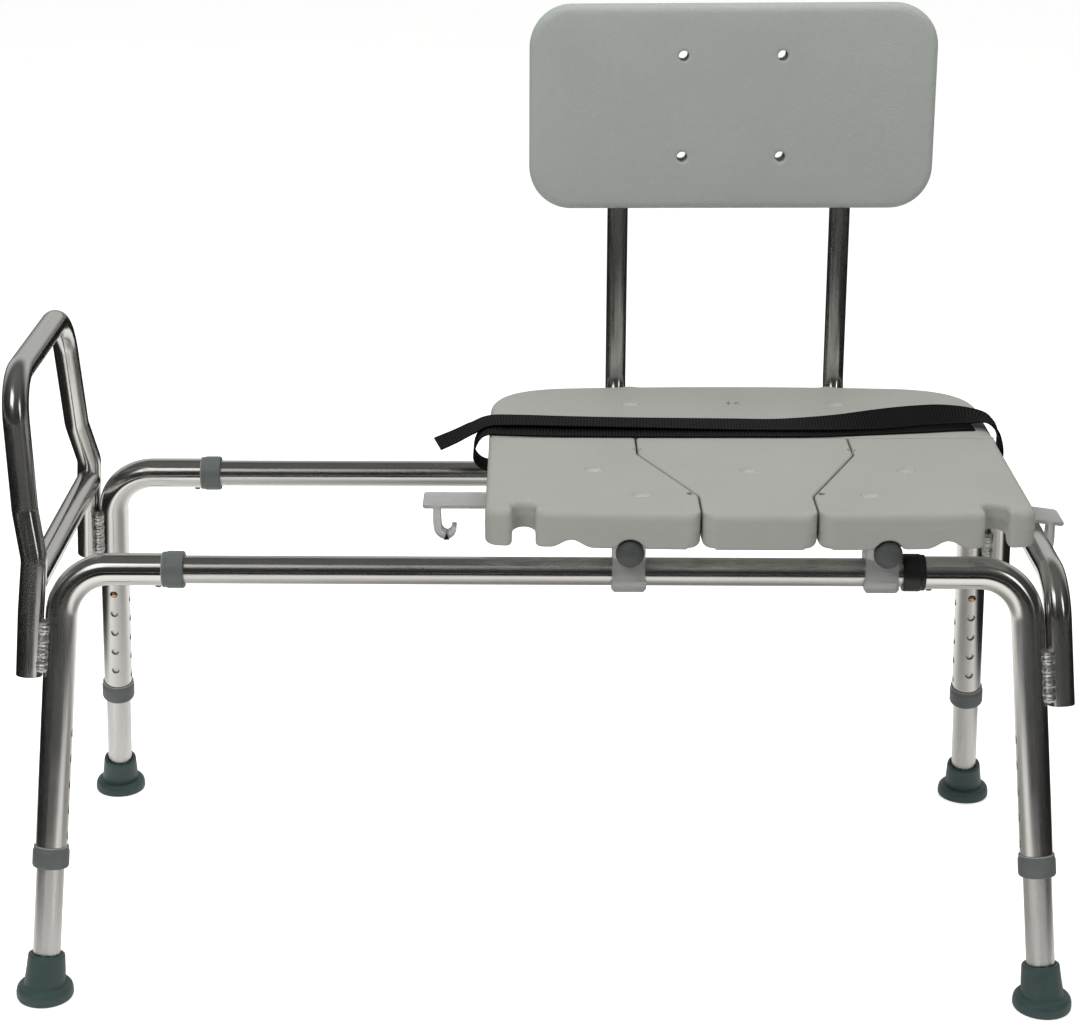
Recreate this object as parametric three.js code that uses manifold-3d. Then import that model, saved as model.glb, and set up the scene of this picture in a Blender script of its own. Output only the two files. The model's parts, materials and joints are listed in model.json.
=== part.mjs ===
// Sliding bath transfer bench: a tubular aluminium frame with two rails, and a seat
// with a backrest that slides along them. Millimetres, +Z up, X along the rails,
// the sitter faces -Y. The origin is on the floor under the middle of the bench.
import * as THREE from 'three';
import { mergeVertices } from 'three/addons/utils/BufferGeometryUtils.js';
import Module from 'manifold-3d';

const wasm = await Module();
wasm.setup();

// ---- driving dimensions ----------------------------------------------------

const GAP = 0.3; // clearance between pieces that touch
const CENTRE_Y = 37.4; // from the middle of the overall depth back to the middle of the legs

// frame
const RAIL_Y = 145.3;
const RAIL_Z = 413;
const RAIL_OD = 26.9;
const RAIL_HALF = 400;
const OUTER_OD = 31;
const WALL = 1.5;
const FOOT_X = 484; // where a leg's axis meets the floor
const FOOT_Y = 234;
const LEAN_X = 0.067; // inward drift of a leg per millimetre of height
const LEAN_Y = (FOOT_Y - RAIL_Y) / RAIL_Z;
const BEND_R = 47;
const STUB_END = 345; // inner end of the outer tube's horizontal stub
const LEG_END = 136; // lower end of the outer tube, along the leg from the floor
const EXTENSION_BOTTOM = 9.3;
const EXTENSION_TOP = 300;
const HOLE_PITCH = 25.4;
const HOLE_COUNT = 5;
const HOLE_R = 4.2;
const SIDE_HOLE_TOP = 264; // top hole facing along the bench, along the leg
const CROSS_HOLE_TOP = 277; // top hole facing across the bench, along the leg

// collars, feet and buttons
const COLLAR_OD = 35.8;
const COLLAR_LENGTH = 21;
const COLLAR_STEP = 4.7; // length of the collar's narrow bore
const COLLAR_OVERLAP = 5; // how far a collar reaches past the end of its outer tube
const FOOT_HEIGHT = 43.5;
const FLANGE_R = 28;
const FOOT_INSET_X = 0.4; // from the leg's axis at the floor back to the flange's centre
const FOOT_INSET_Y = 1.4;
const BUTTON_R = 3.4;
const BUTTON_ROOT = 8.5; // inner end of a button, from its tube's axis
const BUTTON_REACH = 2.6; // how far a snap button stands out of its tube
const RAIL_BUTTON_X = 366;

// end loops
const LOOP_OD = 25.4;
const HOOP_OD = 25.4;
const LOOP_OFFSET = (OUTER_OD + LOOP_OD) / 2 + GAP; // leg axis to loop axis
const LOOP_WALL = 2;
const LOOP_BOTTOM = 313;
const LOOP_TOP = 594;
const LOOP_CORNER_R = 47;
const CROSSBAR_X = -484;
const CROSSBAR_Z = 403;
const CROSSBAR_HALF = 150; // before the loop's own width is taken off
const HOOP_BOTTOM = 290;
const HOOP_TOP = 405;
const HOOP_CORNER_R = 45;
const WELD_LENGTH = 50;

// carriage
const SEAT_X = 203; // seat centre with the carriage at the right-hand stop
const SEAT_HALF = 256;
const SEAT_TOP = 481.5;
const SEAT_THICK = 36;
const SEAT_BOTTOM = SEAT_TOP - SEAT_THICK;
const SEAT_EDGE = 6; // rounding of every seat piece's edges
const SEAM = 0.8; // half the gap between seat pieces
const SEAM_Y = 59;
const SEAT_REAR = 247;
const SEAT_REAR_R = 96;
const FRONT_MID = -178;
const FRONT_SIDE = -166;
const INSERT_WIDE = 107;
const INSERT_NARROW = 54;
const NOTCH_X = 221;
const NOTCH_R = 13;
const NOTCH_Y = -155;

const POST_X = 120; // seat tubes, either side of the seat centre
const POST_OD = 22.2;
const POST_Z = 439.5;
const POST_FRONT = -170;
const POST_Y = 295.5; // rear riser of the seat tubes at seat height
const POST_TOP = 800;
const POST_BEND_R = 45;
const CAP_OD = 27;
const CAP_SKIRT = 13;
const CAP_FACE = 9; // from the tube's end out to the cap's face
const BACK_LEAN = 0.05;

const BACK_HALF = 216;
const BACK_BOTTOM = 665;
const BACK_TOP = 882.5;
const BACK_THICK = 36;
const BACK_CORNER_R = 45;
const BACK_EDGE = 7;
const BACK_HOLE_X = 52.4;
const BACK_HOLE_Z = [721.5, 828.5];
const BACK_HOLE_R = 5.5;

const BLOCK_WIDE = 33;
const BLOCK_DEEP = 34;
const BLOCK_BOTTOM = RAIL_Z - 15;
const BLOCK_SHIFT = { left: -0.5, right: -3.5 }; // from the seat tube, along the rails

const BELT_LOWER_Y = 83; // the half that comes round the left edge
const BELT_UPPER_Y = 98; // the half that comes round the right edge, lying over the other
const BELT_WIDE = 38;
const BELT_THICK = 1.6;
const BELT_LOWER_END = 238; // from the seat centre

// end latches, measured outwards from the seat centre
const LATCH_PIVOT_X = 248;
const LATCHES = [
  // the left one hangs free and level; the right one is down over the end hoop
  { name: 'left', side: -1, pivotZ: 435.5, reach: 73, drop: 0, hook: [11, 35.5, 23, 14.5] },
  { name: 'right', side: 1, pivotZ: 427.5, reach: 65, drop: 8.5, hook: [9, 38.5, 20.5, 5] },
];
const HOOK_THICK = 7;
const LATCH_Y = -6;
const LATCH_WIDE = 42;
const LATCH_THICK = 4;
const LATCH_EYE_R = 5.2;
const LATCH_HOOK_DEEP = 16;
const LATCH_EAR_THICK = 4.2;
const LATCH_EAR_DROP = 6.5; // below the pivot
const PIN_R = 2.5;

// ---- materials ---------------------------------------------------------------

const finish = (color, roughness, metalness) =>
  new THREE.MeshStandardMaterial({ color, roughness, metalness });

const ALUMINIUM = finish(0xc9cacb, 0.22, 1);
const WELD = finish(0x9d9fa0, 0.5, 1);
const COPPER = finish(0xa5714e, 0.35, 1);
const GREY_PLASTIC = finish(0x6b7376, 0.6, 0);
const RUBBER = finish(0x465252, 0.8, 0);
const SEAT_PLASTIC = finish(0xa3a59e, 0.55, 0);
const BACK_PLASTIC = finish(0x969b96, 0.6, 0);
const WHITE_PLASTIC = finish(0xd5d6d4, 0.4, 0);
const WEBBING = finish(0x141416, 0.9, 0);
const STEEL = finish(0x8d9092, 0.35, 1);

// ---- solids ------------------------------------------------------------------

// A closed geometry as a solid that can be cut and joined, its faces turned outwards.
function solid(geometry) {
  const bare = geometry.clone();
  bare.deleteAttribute('normal');
  bare.deleteAttribute('uv');
  const merged = mergeVertices(bare, 1e-4);
  const body = (triVerts) => new wasm.Manifold(new wasm.Mesh({
    numProp: 3,
    vertProperties: new Float32Array(merged.attributes.position.array),
    triVerts,
  }));
  const facing = body(new Uint32Array(merged.index.array));
  return facing.volume() > 0 ? facing : body(new Uint32Array(merged.index.array).reverse());
}

// The geometry of a solid.
function geometryOf(body) {
  const mesh = body.getMesh();
  const geometry = new THREE.BufferGeometry();
  geometry.setAttribute('position', new THREE.BufferAttribute(mesh.vertProperties, 3));
  geometry.setIndex(new THREE.BufferAttribute(mesh.triVerts, 1));
  return geometry;
}

const cut = (body, ...tools) => tools.reduce((rest, tool) => rest.subtract(tool), body);
const join = (body, ...more) => more.reduce((sum, next) => sum.add(next), body);

function box(low, high) {
  const [x, y, z] = high.map((value, i) => value - low[i]);
  const geometry = new THREE.BoxGeometry(x, y, z);
  geometry.translate(low[0] + x / 2, low[1] + y / 2, low[2] + z / 2);
  return solid(geometry);
}

// A round bar between two points.
function bar(start, end, radius, sides = 16) {
  const a = new THREE.Vector3(...start);
  const b = new THREE.Vector3(...end);
  const geometry = new THREE.CylinderGeometry(radius, radius, a.distanceTo(b), sides);
  const turn = new THREE.Quaternion().setFromUnitVectors(
    new THREE.Vector3(0, 1, 0), b.clone().sub(a).normalize());
  geometry.applyQuaternion(turn);
  const middle = a.add(b).multiplyScalar(0.5);
  geometry.translate(middle.x, middle.y, middle.z);
  return solid(geometry);
}

// A turned piece about Z; the profile lists [radius, height] and closes on itself.
function turned(profile, sides = 20) {
  const points = [...profile, profile[0]].map(([r, z]) => new THREE.Vector2(r, z));
  const geometry = new THREE.LatheGeometry(points, sides);
  geometry.rotateX(Math.PI / 2);
  return solid(geometry);
}

// A plate of the given outline, with rounded edges, between two heights.
function plate(shape, bottom, top, edge, curveSegments = 8, edgeSegments = 2) {
  const geometry = new THREE.ExtrudeGeometry(shape, {
    depth: top - bottom - 2 * edge,
    bevelEnabled: edge > 0,
    bevelSize: edge,
    bevelOffset: -edge,
    bevelThickness: edge,
    bevelSegments: edgeSegments,
    curveSegments,
  });
  geometry.translate(0, 0, bottom + edge);
  return solid(geometry);
}

// ---- tubes that follow a bent centre line ---------------------------------------

// A path through rings: each step of the extrusion lands on one ring, and each ring
// is square to the mean of its two neighbouring directions.
class RingPath extends THREE.Curve {
  constructor(rings) {
    super();
    this.rings = rings;
  }
  getPoint(t, target = new THREE.Vector3()) {
    const place = t * (this.rings.length - 1);
    const i = Math.min(Math.floor(place), this.rings.length - 2);
    return target.lerpVectors(this.rings[i], this.rings[i + 1], place - i);
  }
  getUtoTmapping(u) {
    return u;
  }
  getTangent(t, target = new THREE.Vector3()) {
    const last = this.rings.length - 1;
    const i = Math.round(t * last);
    const before = this.rings[Math.max(i, 1)].clone().sub(this.rings[Math.max(i, 1) - 1]);
    const next = Math.min(i, last - 1);
    const after = this.rings[next + 1].clone().sub(this.rings[next]);
    return target.copy(before.normalize()).add(after.normalize()).normalize();
  }
}

// Centre line through corner points, each inner corner rounded to its own radius.
function bentLine(corners, radii, stepDegrees = 15) {
  const points = corners.map((corner) => new THREE.Vector3(...corner));
  const rings = [points[0]];
  for (let i = 1; i < points.length - 1; i += 1) {
    const back = points[i - 1].clone().sub(points[i]).normalize();
    const ahead = points[i + 1].clone().sub(points[i]).normalize();
    const opening = back.angleTo(ahead);
    const reach = radii[i - 1] / Math.tan(opening / 2);
    const towards = back.clone().add(ahead).normalize();
    const centre = towards.multiplyScalar(radii[i - 1] / Math.sin(opening / 2)).add(points[i]);
    const from = points[i].clone().addScaledVector(back, reach).sub(centre);
    const turn = Math.PI - opening;
    const axis = ahead.clone().cross(back).normalize();
    const steps = Math.max(1, Math.round(THREE.MathUtils.radToDeg(turn) / stepDegrees));
    for (let k = 0; k <= steps; k += 1) {
      rings.push(from.clone().applyAxisAngle(axis, turn * k / steps).add(centre));
    }
  }
  rings.push(points.at(-1));
  return rings;
}

function circle(radius, sides) {
  const shape = new THREE.Shape();
  for (let i = 0; i < sides; i += 1) {
    const angle = 2 * Math.PI * i / sides;
    shape[i ? 'lineTo' : 'moveTo'](radius * Math.cos(angle), radius * Math.sin(angle));
  }
  shape.closePath();
  return shape;
}

// A bent tube with open ends, or a solid bar where the wall is zero.
function tube(rings, od, wall, sides = 12) {
  const section = circle(od / 2, sides);
  if (wall) {
    section.holes.push(circle(od / 2 - wall, sides));
  }
  return solid(new THREE.ExtrudeGeometry(section, {
    steps: rings.length - 1,
    extrudePath: new RingPath(rings),
    bevelEnabled: false,
  }));
}

// ---- the four corners -----------------------------------------------------------

const CORNERS = [
  { name: 'front_left', sx: -1, sy: -1 },
  { name: 'front_right', sx: 1, sy: -1 },
  { name: 'rear_left', sx: -1, sy: 1 },
  { name: 'rear_right', sx: 1, sy: 1 },
];

const bench = new THREE.Group();
const frame = new THREE.Group();
const carriage = new THREE.Group();
frame.position.y = -CENTRE_Y;
carriage.position.set(0, -CENTRE_Y, 0);
bench.add(frame, carriage);

function add(parent, name, body, material) {
  const mesh = new THREE.Mesh(geometryOf(body), material);
  mesh.name = name;
  parent.add(mesh);
  return mesh;
}

// A point on a leg's axis at the given height.
const onLeg = ({ sx, sy }, z) => [sx * (FOOT_X - LEAN_X * z), sy * (FOOT_Y - LEAN_Y * z), z];

// A group whose Z axis runs up a leg from the floor.
function legGroup({ sx, sy }) {
  const group = new THREE.Group();
  group.position.set(sx * FOOT_X, sy * FOOT_Y, 0);
  group.quaternion.setFromUnitVectors(
    new THREE.Vector3(0, 0, 1),
    new THREE.Vector3(-sx * LEAN_X, -sy * LEAN_Y, 1).normalize());
  frame.add(group);
  return group;
}

// The point at a distance along a leg, and an offset in the leg's own directions.
function legPoint(group, along, x = 0, y = 0) {
  return new THREE.Vector3(x, y, along)
    .applyQuaternion(group.quaternion).add(group.position).toArray();
}

// Two rows of adjustment holes, one facing along the bench and one across it.
function legHoles(group, { sx, sy }) {
  const bores = [];
  for (let i = 0; i < HOLE_COUNT; i += 1) {
    const side = SIDE_HOLE_TOP - i * HOLE_PITCH;
    const cross = CROSS_HOLE_TOP - i * HOLE_PITCH;
    bores.push(
      bar(legPoint(group, side), legPoint(group, side, -sx * OUTER_OD), HOLE_R, 6),
      bar(legPoint(group, cross), legPoint(group, cross, 0, -sy * OUTER_OD), HOLE_R, 6));
  }
  return bores;
}

function legTube(corner, group) {
  const { sx, sy } = corner;
  const bendX = FOOT_X - LEAN_X * RAIL_Z;
  const rings = bentLine([
    [sx * STUB_END, sy * RAIL_Y, RAIL_Z],
    [sx * bendX, sy * RAIL_Y, RAIL_Z],
    legPoint(group, LEG_END),
  ], [BEND_R], 17);
  const buttonHole = bar(
    [sx * RAIL_BUTTON_X, sy * RAIL_Y, RAIL_Z],
    [sx * RAIL_BUTTON_X, sy * RAIL_Y, RAIL_Z - OUTER_OD], HOLE_R, 6);
  return cut(tube(rings, OUTER_OD, WALL, 14), buttonHole, ...legHoles(group, corner));
}

// A stepped ring that closes the gap between an outer tube and the tube inside it.
function collar(start) {
  const outer = COLLAR_OD / 2;
  const overOuter = OUTER_OD / 2 + GAP;
  const overInner = RAIL_OD / 2 + 0.45;
  const step = start + COLLAR_STEP;
  const end = start + COLLAR_LENGTH;
  return turned([
    [overInner, start], [outer, start], [outer, end], [overOuter, end], [overOuter, step],
    [overInner, step],
  ], 16);
}

function legExtension({ sy }) {
  const outer = RAIL_OD / 2;
  const inner = outer - WALL;
  const sleeve = turned([
    [inner, EXTENSION_BOTTOM], [outer, EXTENSION_BOTTOM],
    [outer, EXTENSION_TOP], [inner, EXTENSION_TOP],
  ], 14);
  const hole = bar([0, 0, CROSS_HOLE_TOP], [0, -sy * OUTER_OD, CROSS_HOLE_TOP], HOLE_R, 6);
  return cut(sleeve, hole);
}

// Rubber tip: a cone that follows the leg, on a flange that lies flat on the floor.
function footTip({ sx, sy }, group) {
  const cone = turned([
    [0, 7], [20.5, 7], [20.5, 13], [17.6, FOOT_HEIGHT], [0, FOOT_HEIGHT],
  ].map(([r, z]) => [Math.max(r, 0.001), z]), 14);
  const turn = new THREE.Matrix4().compose(
    group.position, group.quaternion, new THREE.Vector3(1, 1, 1));
  const coneGeometry = geometryOf(cone).applyMatrix4(turn);
  const flange = new THREE.LatheGeometry([
    [0, 0], [FLANGE_R - 1.5, 0], [FLANGE_R, 2], [FLANGE_R, 9], [FLANGE_R - 3, 13], [0, 15],
  ].map(([r, z]) => new THREE.Vector2(r, z)), 16);
  flange.rotateX(Math.PI / 2);
  flange.translate(sx * (FOOT_X - FOOT_INSET_X), sy * (FOOT_Y - FOOT_INSET_Y), 0);
  const socket = bar(
    legPoint(group, EXTENSION_BOTTOM - GAP), legPoint(group, FOOT_HEIGHT + 5), RAIL_OD / 2 + GAP, 14);
  return cut(join(solid(coneGeometry), solid(flange)), socket);
}

// A domed button along +Z, from inside its tube to just outside the outer one.
function button() {
  const tip = OUTER_OD / 2 + BUTTON_REACH;
  const geometry = new THREE.LatheGeometry([
    [0, BUTTON_ROOT], [BUTTON_R, BUTTON_ROOT], [BUTTON_R, tip - 1.6], [BUTTON_R * 0.7, tip - 0.5], [0, tip],
  ].map(([r, z]) => new THREE.Vector2(r, z)), 8);
  geometry.rotateX(Math.PI / 2);
  return solid(geometry);
}

for (const corner of CORNERS) {
  const { name, sx, sy } = corner;
  const group = legGroup(corner);
  add(frame, `leg_tube_${name}`, legTube(corner, group), ALUMINIUM);
  add(group, `leg_collar_${name}`, collar(LEG_END - COLLAR_OVERLAP), GREY_PLASTIC);
  add(group, `leg_extension_${name}`, legExtension(corner), ALUMINIUM);
  add(frame, `foot_tip_${name}`, footTip(corner, group), RUBBER);

  const legButton = add(group, `leg_button_${name}`, button(), COPPER);
  legButton.position.z = CROSS_HOLE_TOP;
  legButton.rotation.x = sy * Math.PI / 2;

  const railCollar = add(frame, `rail_collar_${name}`, collar(STUB_END - COLLAR_OVERLAP), GREY_PLASTIC);
  railCollar.position.set(0, sy * RAIL_Y, RAIL_Z);
  railCollar.rotation.y = sx * Math.PI / 2;

  const railButton = add(frame, `rail_button_${name}`, button(), COPPER);
  railButton.position.set(sx * RAIL_BUTTON_X, sy * RAIL_Y, RAIL_Z);
  railButton.rotation.x = Math.PI;
}

// ---- rails -------------------------------------------------------------------------

for (const [name, sy] of [['front_rail', -1], ['rear_rail', 1]]) {
  const outer = RAIL_OD / 2;
  const inner = outer - WALL;
  const sleeve = turned([
    [inner, -RAIL_HALF], [outer, -RAIL_HALF], [outer, RAIL_HALF], [inner, RAIL_HALF],
  ], 14);
  const holes = [-1, 1].map((sx) => bar(
    [0, 0, sx * RAIL_BUTTON_X], [OUTER_OD, 0, sx * RAIL_BUTTON_X], HOLE_R, 6));
  const rail = add(frame, name, cut(sleeve, ...holes), ALUMINIUM);
  rail.position.set(0, sy * RAIL_Y, RAIL_Z);
  rail.rotation.y = Math.PI / 2;
}

// ---- end loops -----------------------------------------------------------------------

// A line through points given on one side, repeated in mirror image on the other.
const mirroredLine = (half) => [...half, ...half.toReversed().map(([x, y, z]) => [x, -y, z])];

const besideLeg = (z, spread = 0) => [
  -(FOOT_X - LEAN_X * z + LOOP_OFFSET), -(FOOT_Y - LEAN_Y * z + spread), z];

const LOOP_HALF = [
  besideLeg(LOOP_BOTTOM, 2.5), besideLeg(375, 7), [-482.5, -153, 425], [-491, -139.5, 470],
  [-498, -124, LOOP_TOP],
];
const LOOP_RADII = [60, 30, 30, LOOP_CORNER_R, LOOP_CORNER_R, 30, 30, 60];
const loopRings = bentLine(mirroredLine(LOOP_HALF), LOOP_RADII, 21);
add(frame, 'left_handle_loop', tube(loopRings, LOOP_OD, LOOP_WALL), ALUMINIUM);

const crossbarEnds = [-1, 1].map((sy) =>
  new THREE.Vector3(CROSSBAR_X, sy * CROSSBAR_HALF, CROSSBAR_Z));
const crossbar = tube(crossbarEnds, HOOP_OD, LOOP_WALL);
add(frame, 'left_crossbar', cut(crossbar, tube(loopRings, LOOP_OD + 2 * GAP, 0)), ALUMINIUM);

const hoopX = (z) => FOOT_X - LEAN_X * z + (OUTER_OD + HOOP_OD) / 2 + GAP;
const HOOP_HALF = [
  [hoopX(HOOP_BOTTOM), -(FOOT_Y - LEAN_Y * HOOP_BOTTOM), HOOP_BOTTOM],
  [hoopX(HOOP_TOP), -(FOOT_Y - LEAN_Y * HOOP_TOP), HOOP_TOP],
];
const hoopRings = bentLine(mirroredLine(HOOP_HALF), [HOOP_CORNER_R, HOOP_CORNER_R], 18);
add(frame, 'right_hoop', tube(hoopRings, HOOP_OD, LOOP_WALL), ALUMINIUM);

// Weld bead in the crevice between a leg and the tube beside it, on the front side.
function weldBead(corner) {
  const { sx, sy } = corner;
  const low = (sx < 0 ? LOOP_BOTTOM : HOOP_BOTTOM) + 5;
  const ends = [low, low + WELD_LENGTH].map((z) => {
    const [x, y] = onLeg(corner, z);
    return [x + sx * (OUTER_OD / 2 + 0.4), y - 9, z];
  });
  const beside = sx < 0 ? loopRings : hoopRings;
  const besideOd = sx < 0 ? LOOP_OD : HOOP_OD;
  const leg = bar(onLeg(corner, 200), onLeg(corner, 372), OUTER_OD / 2 + GAP);
  return cut(bar(ends[0], ends[1], 6, 10), leg, tube(beside, besideOd + 2 * GAP, 0));
}

for (const corner of CORNERS) {
  add(frame, `weld_bead_${corner.name}`, weldBead(corner), WELD);
}

// ---- seat ------------------------------------------------------------------------------

const SEAT_LEFT = SEAT_X - SEAT_HALF;
const SEAT_RIGHT = SEAT_X + SEAT_HALF;

function rearPanelShape() {
  const shape = new THREE.Shape();
  const side = SEAT_REAR - 10; // the rear edge bows out by this much less at its ends
  shape.moveTo(SEAT_LEFT, SEAM_Y + SEAM);
  shape.lineTo(SEAT_RIGHT, SEAM_Y + SEAM);
  shape.lineTo(SEAT_RIGHT, side - SEAT_REAR_R);
  shape.quadraticCurveTo(SEAT_RIGHT, side - 8, SEAT_RIGHT - SEAT_REAR_R, side);
  shape.quadraticCurveTo(SEAT_X, SEAT_REAR + 8, SEAT_LEFT + SEAT_REAR_R, side);
  shape.quadraticCurveTo(SEAT_LEFT, side - 8, SEAT_LEFT, side - SEAT_REAR_R);
  shape.closePath();
  return shape;
}

const frontEdge = (x) =>
  FRONT_MID + (FRONT_SIDE - FRONT_MID) * ((x - SEAT_X) / SEAT_HALF) ** 2;

// The insert's outline on one side, from the rear seam to the front, as distances
// from the seat centre.
const INSERT_SIDE = [[INSERT_WIDE, SEAM_Y], [INSERT_WIDE, 5], [INSERT_NARROW, -122]];

function wingShape(side) {
  const shape = new THREE.Shape();
  const x = (fromCentre) => SEAT_X + side * fromCentre;
  const outer = SEAT_HALF;
  shape.moveTo(x(outer), SEAM_Y - SEAM);
  INSERT_SIDE.forEach(([from, y]) => shape.lineTo(x(from + SEAM), Math.min(y, SEAM_Y - SEAM)));
  const inner = INSERT_NARROW + SEAM;
  shape.lineTo(x(inner), frontEdge(x(inner)) + 10);
  shape.quadraticCurveTo(x(inner), frontEdge(x(inner)), x(inner + 10), frontEdge(x(inner)));
  shape.lineTo(x((inner + outer) / 2), frontEdge(x((inner + outer) / 2)));
  shape.lineTo(x(outer - 14), frontEdge(x(outer)));
  shape.quadraticCurveTo(x(outer), frontEdge(x(outer)), x(outer), FRONT_SIDE + 14);
  shape.closePath();
  return shape;
}

function insertShape() {
  const shape = new THREE.Shape();
  const inner = INSERT_NARROW - SEAM;
  const front = frontEdge(SEAT_X + inner);
  const right = INSERT_SIDE.map(([from, y]) => [from - SEAM, Math.min(y, SEAM_Y - SEAM)]);
  shape.moveTo(SEAT_X + right[0][0], right[0][1]);
  right.slice(1).forEach(([from, y]) => shape.lineTo(SEAT_X + from, y));
  shape.lineTo(SEAT_X + inner, front + 10);
  shape.quadraticCurveTo(SEAT_X + inner, front, SEAT_X + inner - 10, front);
  shape.lineTo(SEAT_X, FRONT_MID);
  shape.lineTo(SEAT_X - inner + 10, front);
  shape.quadraticCurveTo(SEAT_X - inner, front, SEAT_X - inner, front + 10);
  right.toReversed().forEach(([from, y]) => shape.lineTo(SEAT_X - from, y));
  shape.closePath();
  return shape;
}

// Channels in the underside for the two seat tubes and their front caps.
const CHANNELS = [-1, 1].flatMap((side) => {
  const x = SEAT_X + side * POST_X;
  return [
    bar([x, POST_FRONT - 30, POST_Z], [x, 300, POST_Z], POST_OD / 2 + 0.5),
    bar([x, POST_FRONT - 30, POST_Z], [x, POST_FRONT + 10, POST_Z], 14.2),
  ];
});

const seatPiece = (shape) =>
  cut(plate(shape, SEAT_BOTTOM, SEAT_TOP, SEAT_EDGE), ...CHANNELS);

add(carriage, 'seat_rear_panel', seatPiece(rearPanelShape()), SEAT_PLASTIC);
for (const [name, side] of [['seat_left_wing', -1], ['seat_right_wing', 1]]) {
  const x = SEAT_X + side * NOTCH_X;
  const notch = join(
    bar([x, NOTCH_Y, SEAT_BOTTOM - 5], [x, NOTCH_Y, SEAT_TOP + 5], NOTCH_R),
    box([x - NOTCH_R, FRONT_MID - 20, SEAT_BOTTOM - 5], [x + NOTCH_R, NOTCH_Y, SEAT_TOP + 5]));
  add(carriage, name, cut(seatPiece(wingShape(side)), notch), SEAT_PLASTIC);
}
add(carriage, 'seat_insert', seatPiece(insertShape()), SEAT_PLASTIC);

// ---- seat tubes, caps and slide blocks ----------------------------------------------------

const riserY = (z) => POST_Y + BACK_LEAN * (z - POST_Z);

// A slide block wraps its rail, and the seat tube lies across its top.
function slideBlock(x, y, shift) {
  const low = [x + shift - BLOCK_WIDE / 2, y - BLOCK_DEEP / 2, BLOCK_BOTTOM];
  const high = [x + shift + BLOCK_WIDE / 2, y + BLOCK_DEEP / 2, SEAT_BOTTOM - GAP];
  const railBore = bar(
    [x - BLOCK_WIDE, y, RAIL_Z], [x + BLOCK_WIDE, y, RAIL_Z], RAIL_OD / 2 + 0.45);
  const tubeGroove = bar(
    [x, y - BLOCK_DEEP, POST_Z], [x, y + BLOCK_DEEP, POST_Z], POST_OD / 2 + GAP);
  return cut(box(low, high), railBore, tubeGroove);
}

for (const [name, side] of [['left', -1], ['right', 1]]) {
  const x = SEAT_X + side * POST_X;
  const rings = bentLine([
    [x, POST_FRONT, POST_Z], [x, riserY(POST_Z), POST_Z], [x, riserY(POST_TOP), POST_TOP],
  ], [POST_BEND_R], 18);
  add(carriage, `seat_tube_${name}`, tube(rings, POST_OD, WALL), ALUMINIUM);

  const capR = CAP_OD / 2;
  const socketR = POST_OD / 2 + GAP;
  const socketEnd = CAP_FACE - GAP;
  const cap = turned([
    [0.001, 0], [capR - 4.5, 1.5], [capR - 0.9, 5], [capR, CAP_FACE], [capR, CAP_SKIRT],
    [socketR, CAP_SKIRT], [socketR, socketEnd], [0.001, socketEnd],
  ], 14);
  const capMesh = add(carriage, `tube_cap_${name}`, cap, RUBBER);
  capMesh.position.set(x, POST_FRONT - CAP_FACE, POST_Z);
  capMesh.rotation.x = -Math.PI / 2;

  for (const [row, sy] of [['front', -1], ['rear', 1]]) {
    const block = slideBlock(x, sy * RAIL_Y, BLOCK_SHIFT[name]);
    add(carriage, `slide_block_${row}_${name}`, block, WHITE_PLASTIC);
  }
}

// ---- backrest --------------------------------------------------------------------------------

function roundedRectangle(halfWide, low, high, radius) {
  const shape = new THREE.Shape();
  shape.moveTo(halfWide - radius, low);
  shape.absarc(halfWide - radius, low + radius, radius, -Math.PI / 2, 0);
  shape.absarc(halfWide - radius, high - radius, radius, 0, Math.PI / 2);
  shape.absarc(radius - halfWide, high - radius, radius, Math.PI / 2, Math.PI);
  shape.absarc(radius - halfWide, low + radius, radius, Math.PI, 1.5 * Math.PI);
  shape.closePath();
  return shape;
}

// The backrest in its own directions: X across, Y up its face, Z towards the sitter.
function backrest() {
  const outline = roundedRectangle(BACK_HALF, 0, BACK_TOP - BACK_BOTTOM, BACK_CORNER_R);
  const half = BACK_THICK / 2;
  const panel = plate(outline, -half, half, BACK_EDGE, 5);
  const holes = BACK_HOLE_Z.flatMap((z) => [-BACK_HOLE_X, BACK_HOLE_X].map((x) => bar(
    [x, z - BACK_BOTTOM, -BACK_THICK], [x, z - BACK_BOTTOM, BACK_THICK], BACK_HOLE_R, 8)));
  const sockets = [-POST_X, POST_X].map((x) => bar(
    [x, -10, 0], [x, POST_TOP - BACK_BOTTOM + 3, 0], POST_OD / 2 + 0.4));
  return cut(panel, ...holes, ...sockets);
}

const backMesh = add(carriage, 'backrest', backrest(), BACK_PLASTIC);
backMesh.position.set(SEAT_X, riserY(BACK_BOTTOM), BACK_BOTTOM);
backMesh.rotation.x = Math.PI / 2 - Math.atan(BACK_LEAN);

// ---- belt ---------------------------------------------------------------------------------------

// A flat strap along a line in the XZ plane. Its first stretch has to slope a little,
// because that keeps the strap's width along Y.
function strap(y, corners, radii) {
  const half = BELT_WIDE / 2;
  const section = new THREE.Shape();
  section.moveTo(-half, -BELT_THICK / 2);
  section.lineTo(half, -BELT_THICK / 2);
  section.lineTo(half, BELT_THICK / 2);
  section.lineTo(-half, BELT_THICK / 2);
  section.closePath();
  const rings = bentLine(corners.map(([x, z]) => [x, y, z]), radii, 30);
  return solid(new THREE.ExtrudeGeometry(section, {
    steps: rings.length - 1,
    extrudePath: new RingPath(rings),
    bevelEnabled: false,
  }));
}

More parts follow.
